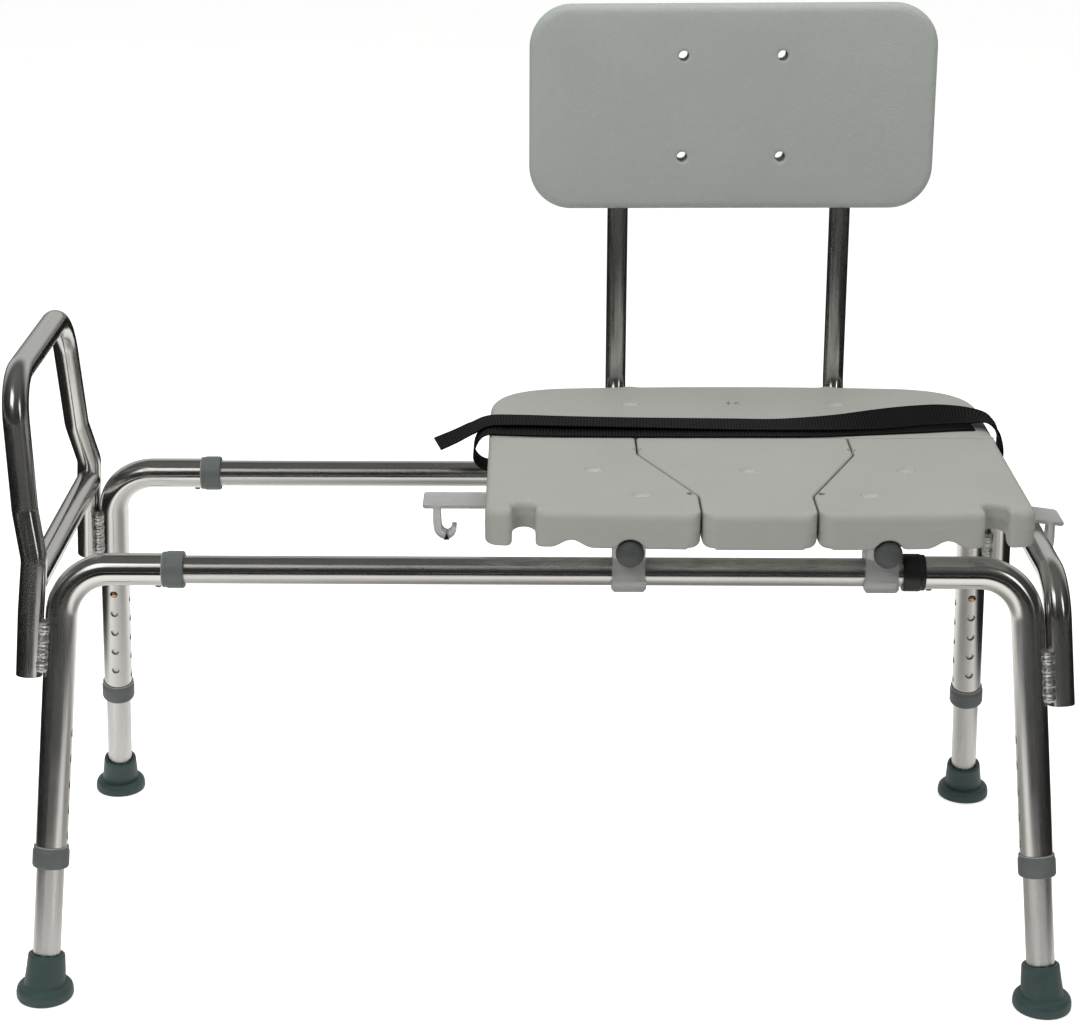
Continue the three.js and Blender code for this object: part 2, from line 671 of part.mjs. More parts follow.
const beltLower = SEAT_TOP + 1.2;
const beltUpper = beltLower + BELT_THICK + 0.4;
const beltUnder = SEAT_BOTTOM - 1.4;
add(carriage, 'belt_under_half', strap(BELT_LOWER_Y, [
  [SEAT_LEFT + 28, beltUnder], [SEAT_LEFT - 19, beltUnder - 2], [SEAT_LEFT - 15, beltLower],
  [SEAT_X + BELT_LOWER_END, beltLower],
], [12, 14]), WEBBING);
add(carriage, 'belt_over_half', strap(BELT_UPPER_Y, [
  [SEAT_RIGHT - 28, beltUnder - 0.5], [SEAT_RIGHT + 8, beltUnder], [SEAT_RIGHT + 8, beltUpper],
  [SEAT_LEFT - 14, beltUpper], [SEAT_LEFT - 46, beltUpper - 8],
], [10, 12, 30]), WEBBING);

// ---- end latches ------------------------------------------------------------------------------------

// The lever as seen from the front, for the right-hand end of the seat: a finger plate from
// its pivot outwards, and under it a hook that reaches round the end tube. The hook is given
// by how far inside the plate's tip it stands, how deep and wide it is, and how far it curls up.
function latchLever({ side, pivotZ, reach, drop, hook }) {
  const half = LATCH_WIDE / 2;
  const [neck, deep, wide, curl] = hook;
  const plateSolid = box([0, -half, -LATCH_THICK / 2], [Math.hypot(reach, drop), half, LATCH_THICK / 2])
    .rotate([0, THREE.MathUtils.radToDeg(Math.atan2(drop, reach)), 0])
    .translate([LATCH_PIVOT_X, 0, pivotZ]);
  const pivot = (y) => [LATCH_PIVOT_X, y, pivotZ];
  const eye = bar(pivot(-half), pivot(half), LATCH_EYE_R, 12);
  const bore = bar(pivot(-LATCH_WIDE), pivot(LATCH_WIDE), PIN_R + 0.35, 12);

  const outline = new THREE.Shape();
  const at = (inwards, down) => [LATCH_PIVOT_X + reach - inwards, pivotZ - drop - down];
  const inner = neck + HOOK_THICK;
  outline.moveTo(...at(inner, -1));
  outline.lineTo(...at(neck, -1));
  outline.lineTo(...at(neck - 0.5, 0.4 * deep));
  outline.quadraticCurveTo(...at(neck, 0.93 * deep), ...at(neck + wide / 2, deep));
  outline.quadraticCurveTo(...at(neck + wide, deep), ...at(neck + wide, deep - curl));
  outline.lineTo(...at(neck + wide - 4.5, deep - curl - 0.5));
  outline.quadraticCurveTo(...at(neck + wide - 5, deep - 7), ...at(neck + wide / 2, deep - HOOK_THICK));
  outline.quadraticCurveTo(...at(inner + 0.5, deep - 8), ...at(inner + 0.5, 0.4 * deep));
  outline.closePath();
  const hookGeometry = new THREE.ExtrudeGeometry(outline, {
    depth: LATCH_HOOK_DEEP, bevelEnabled: false, curveSegments: 5,
  });
  hookGeometry.rotateX(Math.PI / 2);
  hookGeometry.translate(0, -half + LATCH_HOOK_DEEP, 0);
  const lever = cut(join(plateSolid, eye, solid(hookGeometry)), bore);
  return side > 0 ? lever : lever.mirror([1, 0, 0]);
}

// A small saddle under the seat with an ear on each side of the lever.
function latchBracket({ side, pivotZ }) {
  const x = LATCH_PIVOT_X;
  const half = LATCH_WIDE / 2;
  const top = SEAT_BOTTOM - GAP;
  const earNear = half + 0.8;
  const earFar = earNear + LATCH_EAR_THICK;
  const saddle = box([x - 8, -earFar, top - 4], [x + 8, earFar, top]);
  const ears = [[earNear, earFar], [-earFar, -earNear]].map(([low, high]) =>
    box([x - 7, low, pivotZ - LATCH_EAR_DROP], [x + 7, high, top - 2]));
  const bore = bar([x, -half - 9, pivotZ], [x, half + 9, pivotZ], PIN_R + 0.35, 12);
  const bracket = cut(join(saddle, ...ears), bore);
  return side > 0 ? bracket : bracket.mirror([1, 0, 0]);
}

for (const latch of LATCHES) {
  const { name, side, pivotZ } = latch;
  const place = (mesh) => mesh.position.set(SEAT_X, LATCH_Y, 0);
  place(add(carriage, `latch_lever_${name}`, latchLever(latch), WHITE_PLASTIC));
  place(add(carriage, `latch_bracket_${name}`, latchBracket(latch), WHITE_PLASTIC));
  const x = side * LATCH_PIVOT_X;
  const reach = LATCH_WIDE / 2 + 7;
  place(add(carriage, `latch_pin_${name}`,
    bar([x, -reach, pivotZ], [x, reach, pivotZ], PIN_R, 12), STEEL));
}

export default bench;
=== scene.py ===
"""Bath transfer bench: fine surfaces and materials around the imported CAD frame.

Lengths below are millimetres in the bench's own directions: +X along the rails, +Z up,
and Y counted from the middle between the two rails. place() turns them into the row frame.
"""
import json
import math

import bpy
import numpy as np
from mathutils import Matrix, Vector
from mathutils.geometry import delaunay_2d_cdt


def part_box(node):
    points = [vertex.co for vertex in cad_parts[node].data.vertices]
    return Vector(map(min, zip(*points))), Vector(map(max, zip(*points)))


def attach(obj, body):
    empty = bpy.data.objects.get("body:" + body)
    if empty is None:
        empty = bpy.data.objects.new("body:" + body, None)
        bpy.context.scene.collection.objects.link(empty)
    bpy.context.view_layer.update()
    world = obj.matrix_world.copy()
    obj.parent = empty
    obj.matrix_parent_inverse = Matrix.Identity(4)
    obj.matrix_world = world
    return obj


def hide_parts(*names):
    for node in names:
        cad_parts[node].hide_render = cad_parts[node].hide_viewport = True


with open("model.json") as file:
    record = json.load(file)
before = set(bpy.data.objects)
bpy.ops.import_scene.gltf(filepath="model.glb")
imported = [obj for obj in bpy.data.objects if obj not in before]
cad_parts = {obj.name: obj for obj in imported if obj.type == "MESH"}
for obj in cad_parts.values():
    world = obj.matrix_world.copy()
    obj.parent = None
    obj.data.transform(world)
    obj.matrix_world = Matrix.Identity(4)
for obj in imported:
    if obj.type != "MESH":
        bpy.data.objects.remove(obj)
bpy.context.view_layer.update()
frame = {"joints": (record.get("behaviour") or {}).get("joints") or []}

# ---- the frame's own sizes -------------------------------------------------------------

MM = 0.001


def box_mm(node):
    """A CAD node's lowest and highest corners in millimetres, with the bench's own Y."""
    shift = np.array([0.0, MIDDLE_Y, 0.0])
    return tuple((np.array(corner) - shift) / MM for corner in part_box(node))


def middle(node, axis):
    """The middle of a CAD node's box along one axis."""
    low, high = box_mm(node)
    return (low[axis] + high[axis]) / 2


def extent(node, axis):
    """The size of a CAD node's box along one axis."""
    low, high = box_mm(node)
    return high[axis] - low[axis]


MIDDLE_Y = sum(corner[1] for rail in ("front_rail", "rear_rail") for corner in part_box(rail)) / 4

X, Y, Z = 0, 1, 2
WALL = 1.5       # of the legs, rails and seat tubes
LOOP_WALL = 2.0  # of the loop, crossbar and hoop
RAIL_Y = abs(middle("front_rail", Y))
RAIL_Z = middle("front_rail", Z)
RAIL_HALF = extent("front_rail", X) / 2
RAIL_OD = 26.9
OUTER_OD = 31.0
LOOP_OD = 25.4
HOOP_OD = 25.4
POST_OD = extent("seat_tube_left", X)
STUB_END = box_mm("leg_tube_front_right")[0][X]
LEG_BEND_R = 47.0
HOLE_PITCH = 25.4
HOLE_R = 4.2
HOLE_COUNT = 5  # in each row
RIB_PITCH = 3.2  # of the belt webbing
SIDE_HOLE_TOP = 264.0   # along the leg from the floor, holes that face along the bench
CROSS_HOLE_TOP = 277.0  # the same, holes that face across it
RAIL_BUTTON_X = middle("rail_button_front_right", X)

SEAT_X = (box_mm("seat_left_wing")[0][X] + box_mm("seat_right_wing")[1][X]) / 2
SEAT_HALF = box_mm("seat_right_wing")[1][X] - SEAT_X
SEAT_BOTTOM, SEAT_TOP = (corner[Z] for corner in box_mm("seat_rear_panel"))
SEAT_REAR = box_mm("seat_rear_panel")[1][Y]
SEAT_FRONT = box_mm("seat_insert")[0][Y]
POST_X = middle("seat_tube_right", X) - SEAT_X
POST_Z = box_mm("seat_tube_right")[0][Z] + POST_OD / 2

# each corner's name, and the signs of its X and Y
CORNERS = [("front_left", -1, -1), ("front_right", 1, -1), ("rear_left", -1, 1), ("rear_right", 1, 1)]


def place(points):
    """Millimetres in the bench's directions to metres in the row frame."""
    return np.asarray(points, float) * MM + np.array([0.0, MIDDLE_Y, 0.0])


# ---- material helpers ------------------------------------------------------------------


class Nodes:
    """A new material's node tree, with short calls to add and link nodes."""

    def __init__(self, name, **settings):
        self.material = bpy.data.materials.new(name)
        self.material.use_nodes = True
        self.tree = self.material.node_tree
        self.shader = self.tree.nodes["Principled BSDF"]
        for key, value in settings.items():
            self.shader.inputs[key.replace("_", " ")].default_value = value

    def add(self, kind, inputs=None, **attributes):
        """A new node; each input takes a value or a link from another node's output."""
        node = self.tree.nodes.new("ShaderNode" + kind)
        for key, value in attributes.items():
            setattr(node, key, value)
        for key, value in (inputs or {}).items():
            if isinstance(value, bpy.types.NodeSocket):
                self.tree.links.new(value, node.inputs[key])
            else:
                node.inputs[key].default_value = value
        return node

    def link(self, output, key):
        """Links an output to one of the surface shader's inputs."""
        self.tree.links.new(output, self.shader.inputs[key])

    def position(self, scale=(1, 1, 1)):
        """The place on the piece, in metres."""
        coordinates = self.add("TexCoord").outputs["Object"]
        return self.add("Mapping", {"Vector": coordinates, "Scale": scale}).outputs[0]

    def attribute(self, name, scale=(1, 1, 1)):
        """A vector that the mesh holds for each of its points."""
        vector = self.add("Attribute", attribute_name=name).outputs["Vector"]
        return self.add("Mapping", {"Vector": vector, "Scale": scale}).outputs[0]

    def noise(self, vector, scale, detail=4.0, roughness=0.5):
        return self.add("TexNoise", {
            "Vector": vector, "Scale": scale, "Detail": detail, "Roughness": roughness}).outputs["Fac"]

    def spread(self, value, low, high, start=0.3, end=0.7):
        """Maps start to low and end to high."""
        return self.add("MapRange", {
            "Value": value, "From Min": start, "From Max": end, "To Min": low, "To Max": high}).outputs[0]

    def ramp(self, value, *stops):
        """A colour from a value, through stops of (value, colour)."""
        node = self.add("ValToRGB", {"Fac": value})
        elements = node.color_ramp.elements
        while len(elements) < len(stops):
            elements.new(0.5)
        for element, (at, colour) in zip(elements, stops):
            element.position = at
            element.color = (*colour, 1.0)
        return node.outputs["Color"]

    def math(self, operation, a, b):
        return self.add("Math", {0: a, 1: b}, operation=operation).outputs[0]

    def bump(self, height, strength, distance, normal=None):
        inputs = {"Height": height, "Strength": strength, "Distance": distance}
        if normal is not None:
            inputs["Normal"] = normal
        return self.add("Bump", inputs).outputs["Normal"]


def tone(colour, factor):
    """A colour made lighter or darker by a factor."""
    return tuple(min(1.0, part * factor) for part in colour)


def tube_metal(name, colour, roughness, streak):
    """Drawn tube, polished round and round: its gloss is smeared along the tube, with faint
    drawing lines and a slightly cloudy polish."""
    nodes = Nodes(name, Metallic=1.0, Anisotropic=0.85)
    nodes.link(nodes.add("Attribute", attribute_name="tube_axis").outputs["Vector"], "Tangent")
    along = nodes.attribute("tube_space", (1, 1, 0.012))
    lines = nodes.noise(along, 900.0, 3.0, 0.6)
    clouds = nodes.noise(nodes.attribute("tube_space", (1, 1, 0.35)), 45.0, 3.0)
    nodes.link(nodes.ramp(clouds, (0.3, tone(colour, 0.94)), (0.7, tone(colour, 1.03))), "Base Color")
    rough = nodes.math("ADD", nodes.spread(lines, roughness * 0.8, roughness * 1.25),
                       nodes.spread(clouds, -0.02, 0.035))
    nodes.link(rough, "Roughness")
    nodes.link(nodes.bump(lines, streak, 0.0004), "Normal")
    return nodes.material


def moulded_plastic(name, colour, roughness, grain, cells, cloud=0.04):
    """Blow-moulded plastic with a fine leather grain and a slightly uneven gloss; its colour differs a
    little at random and is painted slightly darker in the grain's creases, a painted shade.
    """
    nodes = Nodes(name, IOR=1.49)
    where = nodes.position()
    wobble = nodes.add("TexNoise", {"Vector": where, "Scale": cells * 0.6, "Detail": 2.0})
    bent = nodes.add("MixRGB", {0: 0.0035, 1: where, 2: wobble.outputs["Color"]}, blend_type="ADD")
    pebbles = nodes.add("TexVoronoi", {"Vector": bent.outputs[0], "Scale": cells},
                        feature="DISTANCE_TO_EDGE").outputs["Distance"]
    creases = nodes.spread(pebbles, 0.0, 1.0, 0.0, 0.22)
    swirl = nodes.noise(where, cells * 0.35, 4.0, 0.65)
    height = nodes.math("ADD", nodes.math("MULTIPLY", creases, 0.5), swirl)
    clouds = nodes.noise(where, 9.0, 3.0)
    # random clouds of tone, plus painted shade in the grain's creases
    shade = nodes.math("ADD", nodes.math("MULTIPLY", clouds, 0.75), nodes.math("MULTIPLY", creases, 0.2))
    nodes.link(nodes.ramp(shade, (0.3, tone(colour, 1 - cloud)), (0.72, tone(colour, 1 + cloud))),
               "Base Color")
    nodes.link(nodes.spread(swirl, roughness - 0.06, roughness + 0.08), "Roughness")
    nodes.link(nodes.bump(height, grain, 0.0006), "Normal")
    return nodes.material


def plain_moulding(name, colour, roughness, **settings):
    """Injection-moulded plastic or rubber: a dull skin with small flow marks and dust."""
    nodes = Nodes(name, **settings)
    where = nodes.position()
    flow = nodes.noise(where, 60.0, 5.0, 0.6)
    skin = nodes.noise(where, 1400.0, 2.0)
    nodes.link(nodes.ramp(flow, (0.3, tone(colour, 0.9)), (0.7, tone(colour, 1.1))), "Base Color")
    nodes.link(nodes.spread(flow, roughness - 0.05, roughness + 0.08), "Roughness")
    nodes.link(nodes.bump(skin, 0.12, 0.0002, nodes.bump(flow, 0.1, 0.0008)), "Normal")
    return nodes.material


def nylon():
    """Natural nylon: milky, lets light and a dim view of what is behind it through."""
    nodes = Nodes("natural_nylon", IOR=1.5, Transmission_Weight=0.7)
    where = nodes.position()
    milk = nodes.noise(where, 110.0, 4.0)
    nodes.link(nodes.ramp(milk, (0.3, (0.60, 0.605, 0.59)), (0.7, (0.70, 0.70, 0.685))), "Base Color")
    nodes.link(nodes.spread(milk, 0.3, 0.4), "Roughness")
    nodes.link(nodes.bump(nodes.noise(where, 900.0, 2.0), 0.08, 0.0002), "Normal")
    return nodes.material


def webbing():
    """Black polyester webbing: fine warp threads over the modelled ribs, and some lint; the ribs' crests
    are painted lighter and their hollows darker, a painted highlight and painted shade.
    """
    nodes = Nodes("black_webbing", Roughness=0.6, Specular_IOR_Level=0.1)
    weave = nodes.attribute("belt_space")
    threads = nodes.add("TexWave", {"Vector": weave, "Scale": 300.0, "Distortion": 0.6},
                        bands_direction="Y").outputs["Fac"]
    lint = nodes.noise(weave, 420.0, 5.0, 0.7)
    shade = nodes.math("ADD", nodes.math("MULTIPLY", threads, 0.35), nodes.math("MULTIPLY", lint, 0.65))
    cloth = nodes.ramp(shade, (0.25, (0.15, 0.15, 0.155)), (0.8, (1.0, 1.0, 1.02)))
    one_wave = math.pi / 10  # the wave texture's length at a scale of 1
    ribs = nodes.add("TexWave", {
        "Vector": weave, "Scale": one_wave / (RIB_PITCH * MM), "Phase Offset": math.pi / 2,
    }, bands_direction="X").outputs["Fac"]
    # painted highlight on the rib crests and painted shade in the hollows between them
    rib_highlight_and_shade = nodes.ramp(ribs, (0.35, (0.0008, 0.0008, 0.001)), (0.95, (0.024, 0.024, 0.025)))
    colour = nodes.add("MixRGB", {0: 1.0, 1: cloth, 2: rib_highlight_and_shade}, blend_type="MULTIPLY").outputs[0]
    nodes.link(colour, "Base Color")
    nodes.link(nodes.bump(shade, 0.5, 0.0004), "Normal")
    return nodes.material


def weld_metal():
    """Weld filler: bright, with a fine cast skin."""
    nodes = Nodes("weld_metal", Metallic=1.0)
    where = nodes.position()
    scale = nodes.noise(where, 350.0, 4.0, 0.6)
    nodes.link(nodes.ramp(scale, (0.3, (0.62, 0.62, 0.61)), (0.7, (0.78, 0.78, 0.77))), "Base Color")
    nodes.link(nodes.spread(scale, 0.26, 0.38), "Roughness")
    nodes.link(nodes.bump(scale, 0.15, 0.0005), "Normal")
    return nodes.material


def small_metal(name, colour, roughness):
    """Metal of the small buttons and pins, a little worn."""
    nodes = Nodes(name, Metallic=1.0)
    wear = nodes.noise(nodes.position(), 700.0, 4.0)
    nodes.link(nodes.ramp(wear, (0.3, tone(colour, 0.75)), (0.7, tone(colour, 1.1))), "Base Color")
    nodes.link(nodes.spread(wear, roughness * 0.7, roughness * 1.3), "Roughness")
    return nodes.material


POLISHED = tube_metal("polished_tube", (0.76, 0.75, 0.73), 0.16, 0.06)
RAIL_METAL = tube_metal("rail_tube", (0.64, 0.63, 0.61), 0.25, 0.08)
SATIN = tube_metal("satin_tube", (0.80, 0.795, 0.78), 0.3, 0.1)
SEAT_PLASTIC = moulded_plastic("seat_plastic", (0.365, 0.375, 0.345), 0.5, 0.22, 520.0)
# dimple floors: lower roughness for the pins' smooth skin, and a lighter colour that is a painted highlight
PIN_SKIN_AND_HIGHLIGHT = plain_moulding("seat_pin_mark_painted_highlight", (0.43, 0.44, 0.41), 0.28)
BACK_PLASTIC = moulded_plastic("backrest_plastic", (0.41, 0.435, 0.41), 0.55, 0.6, 330.0, 0.05)
GREY_PLASTIC = plain_moulding("grey_bush", (0.115, 0.131, 0.126), 0.42)
# the paler grey of a collar's lip is a painted highlight
LIP_HIGHLIGHT_PLASTIC = plain_moulding("grey_bush_lip_painted_highlight", (0.30, 0.31, 0.29), 0.4)
DARK_PLASTIC = plain_moulding("dark_bush", (0.008, 0.008, 0.008), 0.42)
FOOT_RUBBER = plain_moulding("foot_rubber", (0.042, 0.074, 0.073), 0.4)
CAP_RUBBER = plain_moulding("cap_rubber", (0.069, 0.078, 0.075), 0.5)
NYLON = nylon()
WEBBING = webbing()
WELD = weld_metal()
COPPER = small_metal("snap_copper", (0.72, 0.42, 0.27), 0.28)
DARK_METAL = small_metal("snap_dark", (0.22, 0.19, 0.17), 0.3)
STEEL = small_metal("pin_steel", (0.55, 0.55, 0.54), 0.3)

# ---- mesh helpers ----------------------------------------------------------------------


def make_object(name, points, faces, material):
    """A new object from points in bench millimetres; its mesh lies in the row frame."""
    mesh = bpy.data.meshes.new(name)
    mesh.from_pydata([tuple(p) for p in place(points)], [], [tuple(f) for f in faces])
    mesh.validate()
    mesh.materials.append(material)
    made = bpy.data.objects.new(name, mesh)
    bpy.context.scene.collection.objects.link(made)
    return made


def shade(made, sharp_degrees=35):
    """Smooth shading, with an edge wherever two faces meet at more than the given angle."""
    made.data.polygons.foreach_set("use_smooth", [True] * len(made.data.polygons))
    made.data.set_sharp_from_angle(angle=math.radians(sharp_degrees))


def finish_piece(made, body, slot, *replaced):
    """Says which body the piece rides and hides the CAD nodes it replaces; the slot argument is not used.
    """
    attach(made, body)
    if replaced:
        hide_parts(*replaced)
    return made


def apply_modifiers(made):
    """Keeps what the modifiers make of a mesh, and removes them."""
    graph = bpy.context.evaluated_depsgraph_get()
    mesh = bpy.data.meshes.new_from_object(made.evaluated_get(graph))
    made.modifiers.clear()
    old = made.data
    made.data = mesh
    mesh.name = made.name
    bpy.data.meshes.remove(old)


def boolean(made, tool, operation="DIFFERENCE"):
    """Cuts the tool object from a piece, or joins it to the piece, then deletes the tool."""
    modifier = made.modifiers.new(operation, "BOOLEAN")
    modifier.operation = operation
    modifier.solver = "EXACT"
    modifier.object = tool
    apply_modifiers(made)
    mesh = tool.data
    bpy.data.objects.remove(tool)
    bpy.data.meshes.remove(mesh)


def frames_along(points):
    """Unit tangent and two side directions at each point, without twist."""
    steps = np.diff(points, axis=0)
    steps /= np.linalg.norm(steps, axis=1)[:, None]
    tangents = np.vstack([steps[:1], steps[:-1] + steps[1:], steps[-1:]])
    tangents /= np.linalg.norm(tangents, axis=1)[:, None]
    helper = np.array([0.0, 0.0, 1.0]) if abs(tangents[0][2]) < 0.9 else np.array([1.0, 0.0, 0.0])
    side = np.cross(tangents[0], helper)
    sides = []
    for tangent in tangents:
        side = side - tangent * (side @ tangent)
        side /= np.linalg.norm(side)
        sides.append(side)
    sides = np.array(sides)
    return tangents, sides, np.cross(tangents, sides)


def corner_arc(before, corner, after, radius, steps=None):
    """Points of the arc that rounds a corner. A number of steps is for outlines, where a corner
    that is nearly straight stays one point; without it there is a step every few degrees."""
    step_degrees = 3.0
    nearly_straight = 0.02
    back = (before - corner) / np.linalg.norm(before - corner)
    ahead = (after - corner) / np.linalg.norm(after - corner)
    opening = math.acos(np.clip(back @ ahead, -1, 1))
    bend = math.pi - opening
    if steps is None:
        steps = max(2, round(math.degrees(bend) / step_degrees))
    elif bend < nearly_straight:
        return [corner]
    start = corner + back * radius / math.tan(opening / 2)
    towards = (back + ahead) / np.linalg.norm(back + ahead)
    centre = corner + towards * radius / math.sin(opening / 2)
    out = (start - centre) / radius
    angles = [bend * k / steps for k in range(steps + 1)]
    return [centre + radius * (out * math.cos(angle) - back * math.sin(angle)) for angle in angles]


def bent_line(corners, radii, spacing=12.0):
    """Points along straight stretches and arcs, through corners rounded to the given radii."""
    corners = [np.asarray(corner, float) for corner in corners]
    stops = [corners[0]]
    for before, corner, after, radius in zip(corners, corners[1:], corners[2:], radii):
        stops += corner_arc(before, corner, after, radius)
    stops.append(corners[-1])
    line = [stops[0]]
    for a, b in zip(stops, stops[1:]):
        pieces = max(1, round(np.linalg.norm(b - a) / spacing))
        line += [a + (b - a) * (k + 1) / pieces for k in range(pieces)]
    return np.array(line)


def full_turn(sides):
    """Angles all round a circle."""
    return np.linspace(0, 2 * np.pi, sides, endpoint=False)


def ring_points(centre, side, other, radius, sides):
    """Points of a circle in the plane of two directions."""
    turn = full_turn(sides)
    return centre + radius * (np.outer(np.cos(turn), side) + np.outer(np.sin(turn), other))


def ring_faces(first, second, sides):
    """Faces between two rings whose points start at the given indices."""
    after = [(i + 1) % sides for i in range(sides)]
    return [(first + i, first + j, second + j, second + i) for i, j in enumerate(after)]


def loft(rings, closed):
    """Points and faces through rings of equal length; closed joins the last to the first."""
    sides = len(rings[0])
    faces = []
    pairs = list(range(len(rings) - 1)) + ([len(rings) - 1] if closed else [])
    for i in pairs:
        faces += ring_faces(i * sides, (i + 1) % len(rings) * sides, sides)
    if not closed:
        last = (len(rings) - 1) * sides
        faces.append(tuple(reversed(range(sides))))
        faces.append(tuple(last + i for i in range(sides)))
    return np.vstack(rings), faces


def tube(name, line, od, wall, material, sides=56, lip=0.35):
    """A bent tube with open, slightly rounded ends."""
    tangents, side, other = frames_along(line)
    outer, inner = od / 2, od / 2 - wall
    mouth = [(lip, 0.0), (0.3 * lip, 0.3 * lip), (0.0, lip)]  # (less than the radius, in from the end)
    plan = [(0, outer - less, slip) for less, slip in mouth]
    plan += [(i, outer, 0.0) for i in range(1, len(line) - 1)]
    plan += [(-1, outer - less, -slip) for less, slip in reversed(mouth)]
    plan += [(i, inner, 0.0) for i in reversed(range(len(line)))]
    rings = [ring_points(line[i] + tangents[i] * slip, side[i], other[i], radius, sides)
             for i, radius, slip in plan]
    points, faces = loft(rings, closed=True)
    return make_object(name, points, faces, material)


def follow(made, line):
    """Gives each point its place in the straightened tube, and each face corner the normal
    of the round surface it lies on, so that drilled holes leave no dents in the gloss."""
    face_on = 0.96  # cosine beyond which a face belongs to the tube's round inner or outer skin
    tangents, side, other = frames_along(line)
    mesh = made.data
    points = np.array([v.co for v in mesh.vertices], float)
    local = (points - place([0, 0, 0])) / MM
    starts, ends = line[:-1], line[1:]
    spans = ends - starts
    lengths = np.linalg.norm(spans, axis=1)
    share = np.clip(np.einsum("pik,ik->pi", local[:, None, :] - starts[None], spans) / lengths**2, 0, 1)
    nearest = starts[None] + share[:, :, None] * spans[None]
    distance = np.linalg.norm(local[:, None, :] - nearest, axis=2)
    pick = distance.argmin(axis=1)
    rows = np.arange(len(local))
    share, nearest = share[rows, pick], nearest[rows, pick]
    away = local - nearest
    blended = tangents[pick] * (1 - share[:, None]) + tangents[pick + 1] * share[:, None]
    away -= blended * np.einsum("pk,pk->p", away, blended)[:, None]
    run = np.concatenate([[0], np.cumsum(lengths)])
    space = np.column_stack([
        np.einsum("pk,pk->p", away, side[pick]), np.einsum("pk,pk->p", away, other[pick]),
        run[pick] + share * lengths[pick]]) * MM
    for name, values in (("tube_space", space), ("tube_axis", blended)):
        attribute = mesh.attributes.new(name, "FLOAT_VECTOR", "POINT")
        attribute.data.foreach_set("vector", values.astype(np.float32).ravel())
    radial = away / np.maximum(np.linalg.norm(away, axis=1), 1e-6)[:, None]
    normals = []
    for polygon in mesh.polygons:
        face = np.array(polygon.normal)
        for vertex in polygon.vertices:
            lean = float(face @ radial[vertex])
            if abs(lean) > face_on:
                normals.append(tuple(radial[vertex] * (1 if lean > 0 else -1)))
            else:
                normals.append(tuple(face))
    mesh.polygons.foreach_set("use_smooth", [True] * len(mesh.polygons))
    mesh.normals_split_custom_set(normals)


def rods(bores, sides=28):
    """One object holding straight round rods, each (start, end, radius)."""
    points, faces = [], []
    for start, end, radius in bores:
        line = np.array([start, end], float)
        _, side, other = frames_along(line)
        rings = [ring_points(p, side[0], other[0], radius, sides) for p in line]
        more, more_faces = loft(rings, closed=False)
        offset = len(points) * 2 * sides
        faces += [tuple(i + offset for i in face) for face in more_faces]
        points.append(more)
    return outward(make_object("tool", np.vstack(points), faces, STEEL))


def fillet(corners, steps=5):
    """A closed outline from (x, y, radius) corners, each rounded by an arc of that radius."""
    places = [np.array(corner[:2], float) for corner in corners]
    outline = []
    for i, (_, _, radius) in enumerate(corners):
        if radius > 0:
            after = places[(i + 1) % len(places)]
            outline += corner_arc(places[i - 1], places[i], after, radius, steps)
        else:
            outline.append(places[i])
    return np.array(outline)


def turned(name, profile, material, matrix, sides=48, closed=False):
    """A turned piece: the profile lists (radius, height) and is turned about its local Z."""
    least_radius = 0.02
    turn = full_turn(sides)
    circle = np.column_stack([np.cos(turn), np.sin(turn), np.zeros(sides)])
    rings = [circle * max(r, least_radius) + np.array([0, 0, h]) for r, h in profile]
    points, faces = loft(rings, closed=closed)
    points = np.array([matrix @ Vector(p) for p in points])
    made = make_object(name, points, faces, material)
    shade(made, 50)
    return made


def outward(made):
    """Turns a closed piece's faces outwards."""
    mesh = made.data
    mesh.calc_loop_triangles()
    points = np.array([v.co for v in mesh.vertices])
    corners = points[np.array([t.vertices for t in mesh.loop_triangles])]
    volume = np.einsum("ij,ij->", np.cross(corners[:, 0], corners[:, 1]), corners[:, 2])
    if volume < 0:
        mesh.flip_normals()
    return made


def axis_matrix(origin, direction, side=(1, 0, 0)):
    """A matrix with its Z along direction and its X as near side as it can be."""
    z = Vector(direction).normalized()
    x = Vector(side)
    x = (x - z * x.dot(z)).normalized()
    rotation = Matrix((x, z.cross(x), z)).transposed().to_4x4()
    return Matrix.Translation(Vector(origin)) @ rotation


# ---- legs and rails --------------------------------------------------------------------

JOINTS = {joint["name"]: joint for joint in frame["joints"]}


class Leg:
    """One corner's leg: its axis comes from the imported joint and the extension's middle."""

    def __init__(self, name, sx, sy):
        self.name, self.sx, self.sy = name, sx, sy
        self.up = -np.array(JOINTS[f"leg_height_{name}"]["axis"], float)
        self.up /= np.linalg.norm(self.up)
        low, high = box_mm(f"leg_extension_{name}")
        centre = (low + high) / 2
        self.foot = centre - self.up * centre[Z] / self.up[Z]
        self.corner = self.foot + self.up * RAIL_Z / self.up[Z]
        self.corner[Y] = sy * RAIL_Y
        across = np.array([0.0, sy, 0.0])
        across -= self.up * (across @ self.up)
        self.across = across / np.linalg.norm(across)
        along = np.array([sx, 0.0, 0.0])
        along -= self.up * (along @ self.up)
        along -= self.across * (along @ self.across)
        self.along = along / np.linalg.norm(along)
        self.tilt = math.sqrt(1 - self.up[Z] ** 2)
        end_z = box_mm(f"leg_tube_{name}")[0][Z] + OUTER_OD / 2 * self.tilt
        self.tube_end = end_z / self.up[Z]

    def at(self, distance, across=0.0, along=0.0):
        """A point at a distance up the leg from the floor, and beside its axis."""
        return self.foot + self.up * distance + self.across * across + self.along * along

    def matrix(self, distance=0.0):
        return axis_matrix(self.at(distance), self.up, self.along)


LEGS = {name: Leg(name, sx, sy) for name, sx, sy in CORNERS}


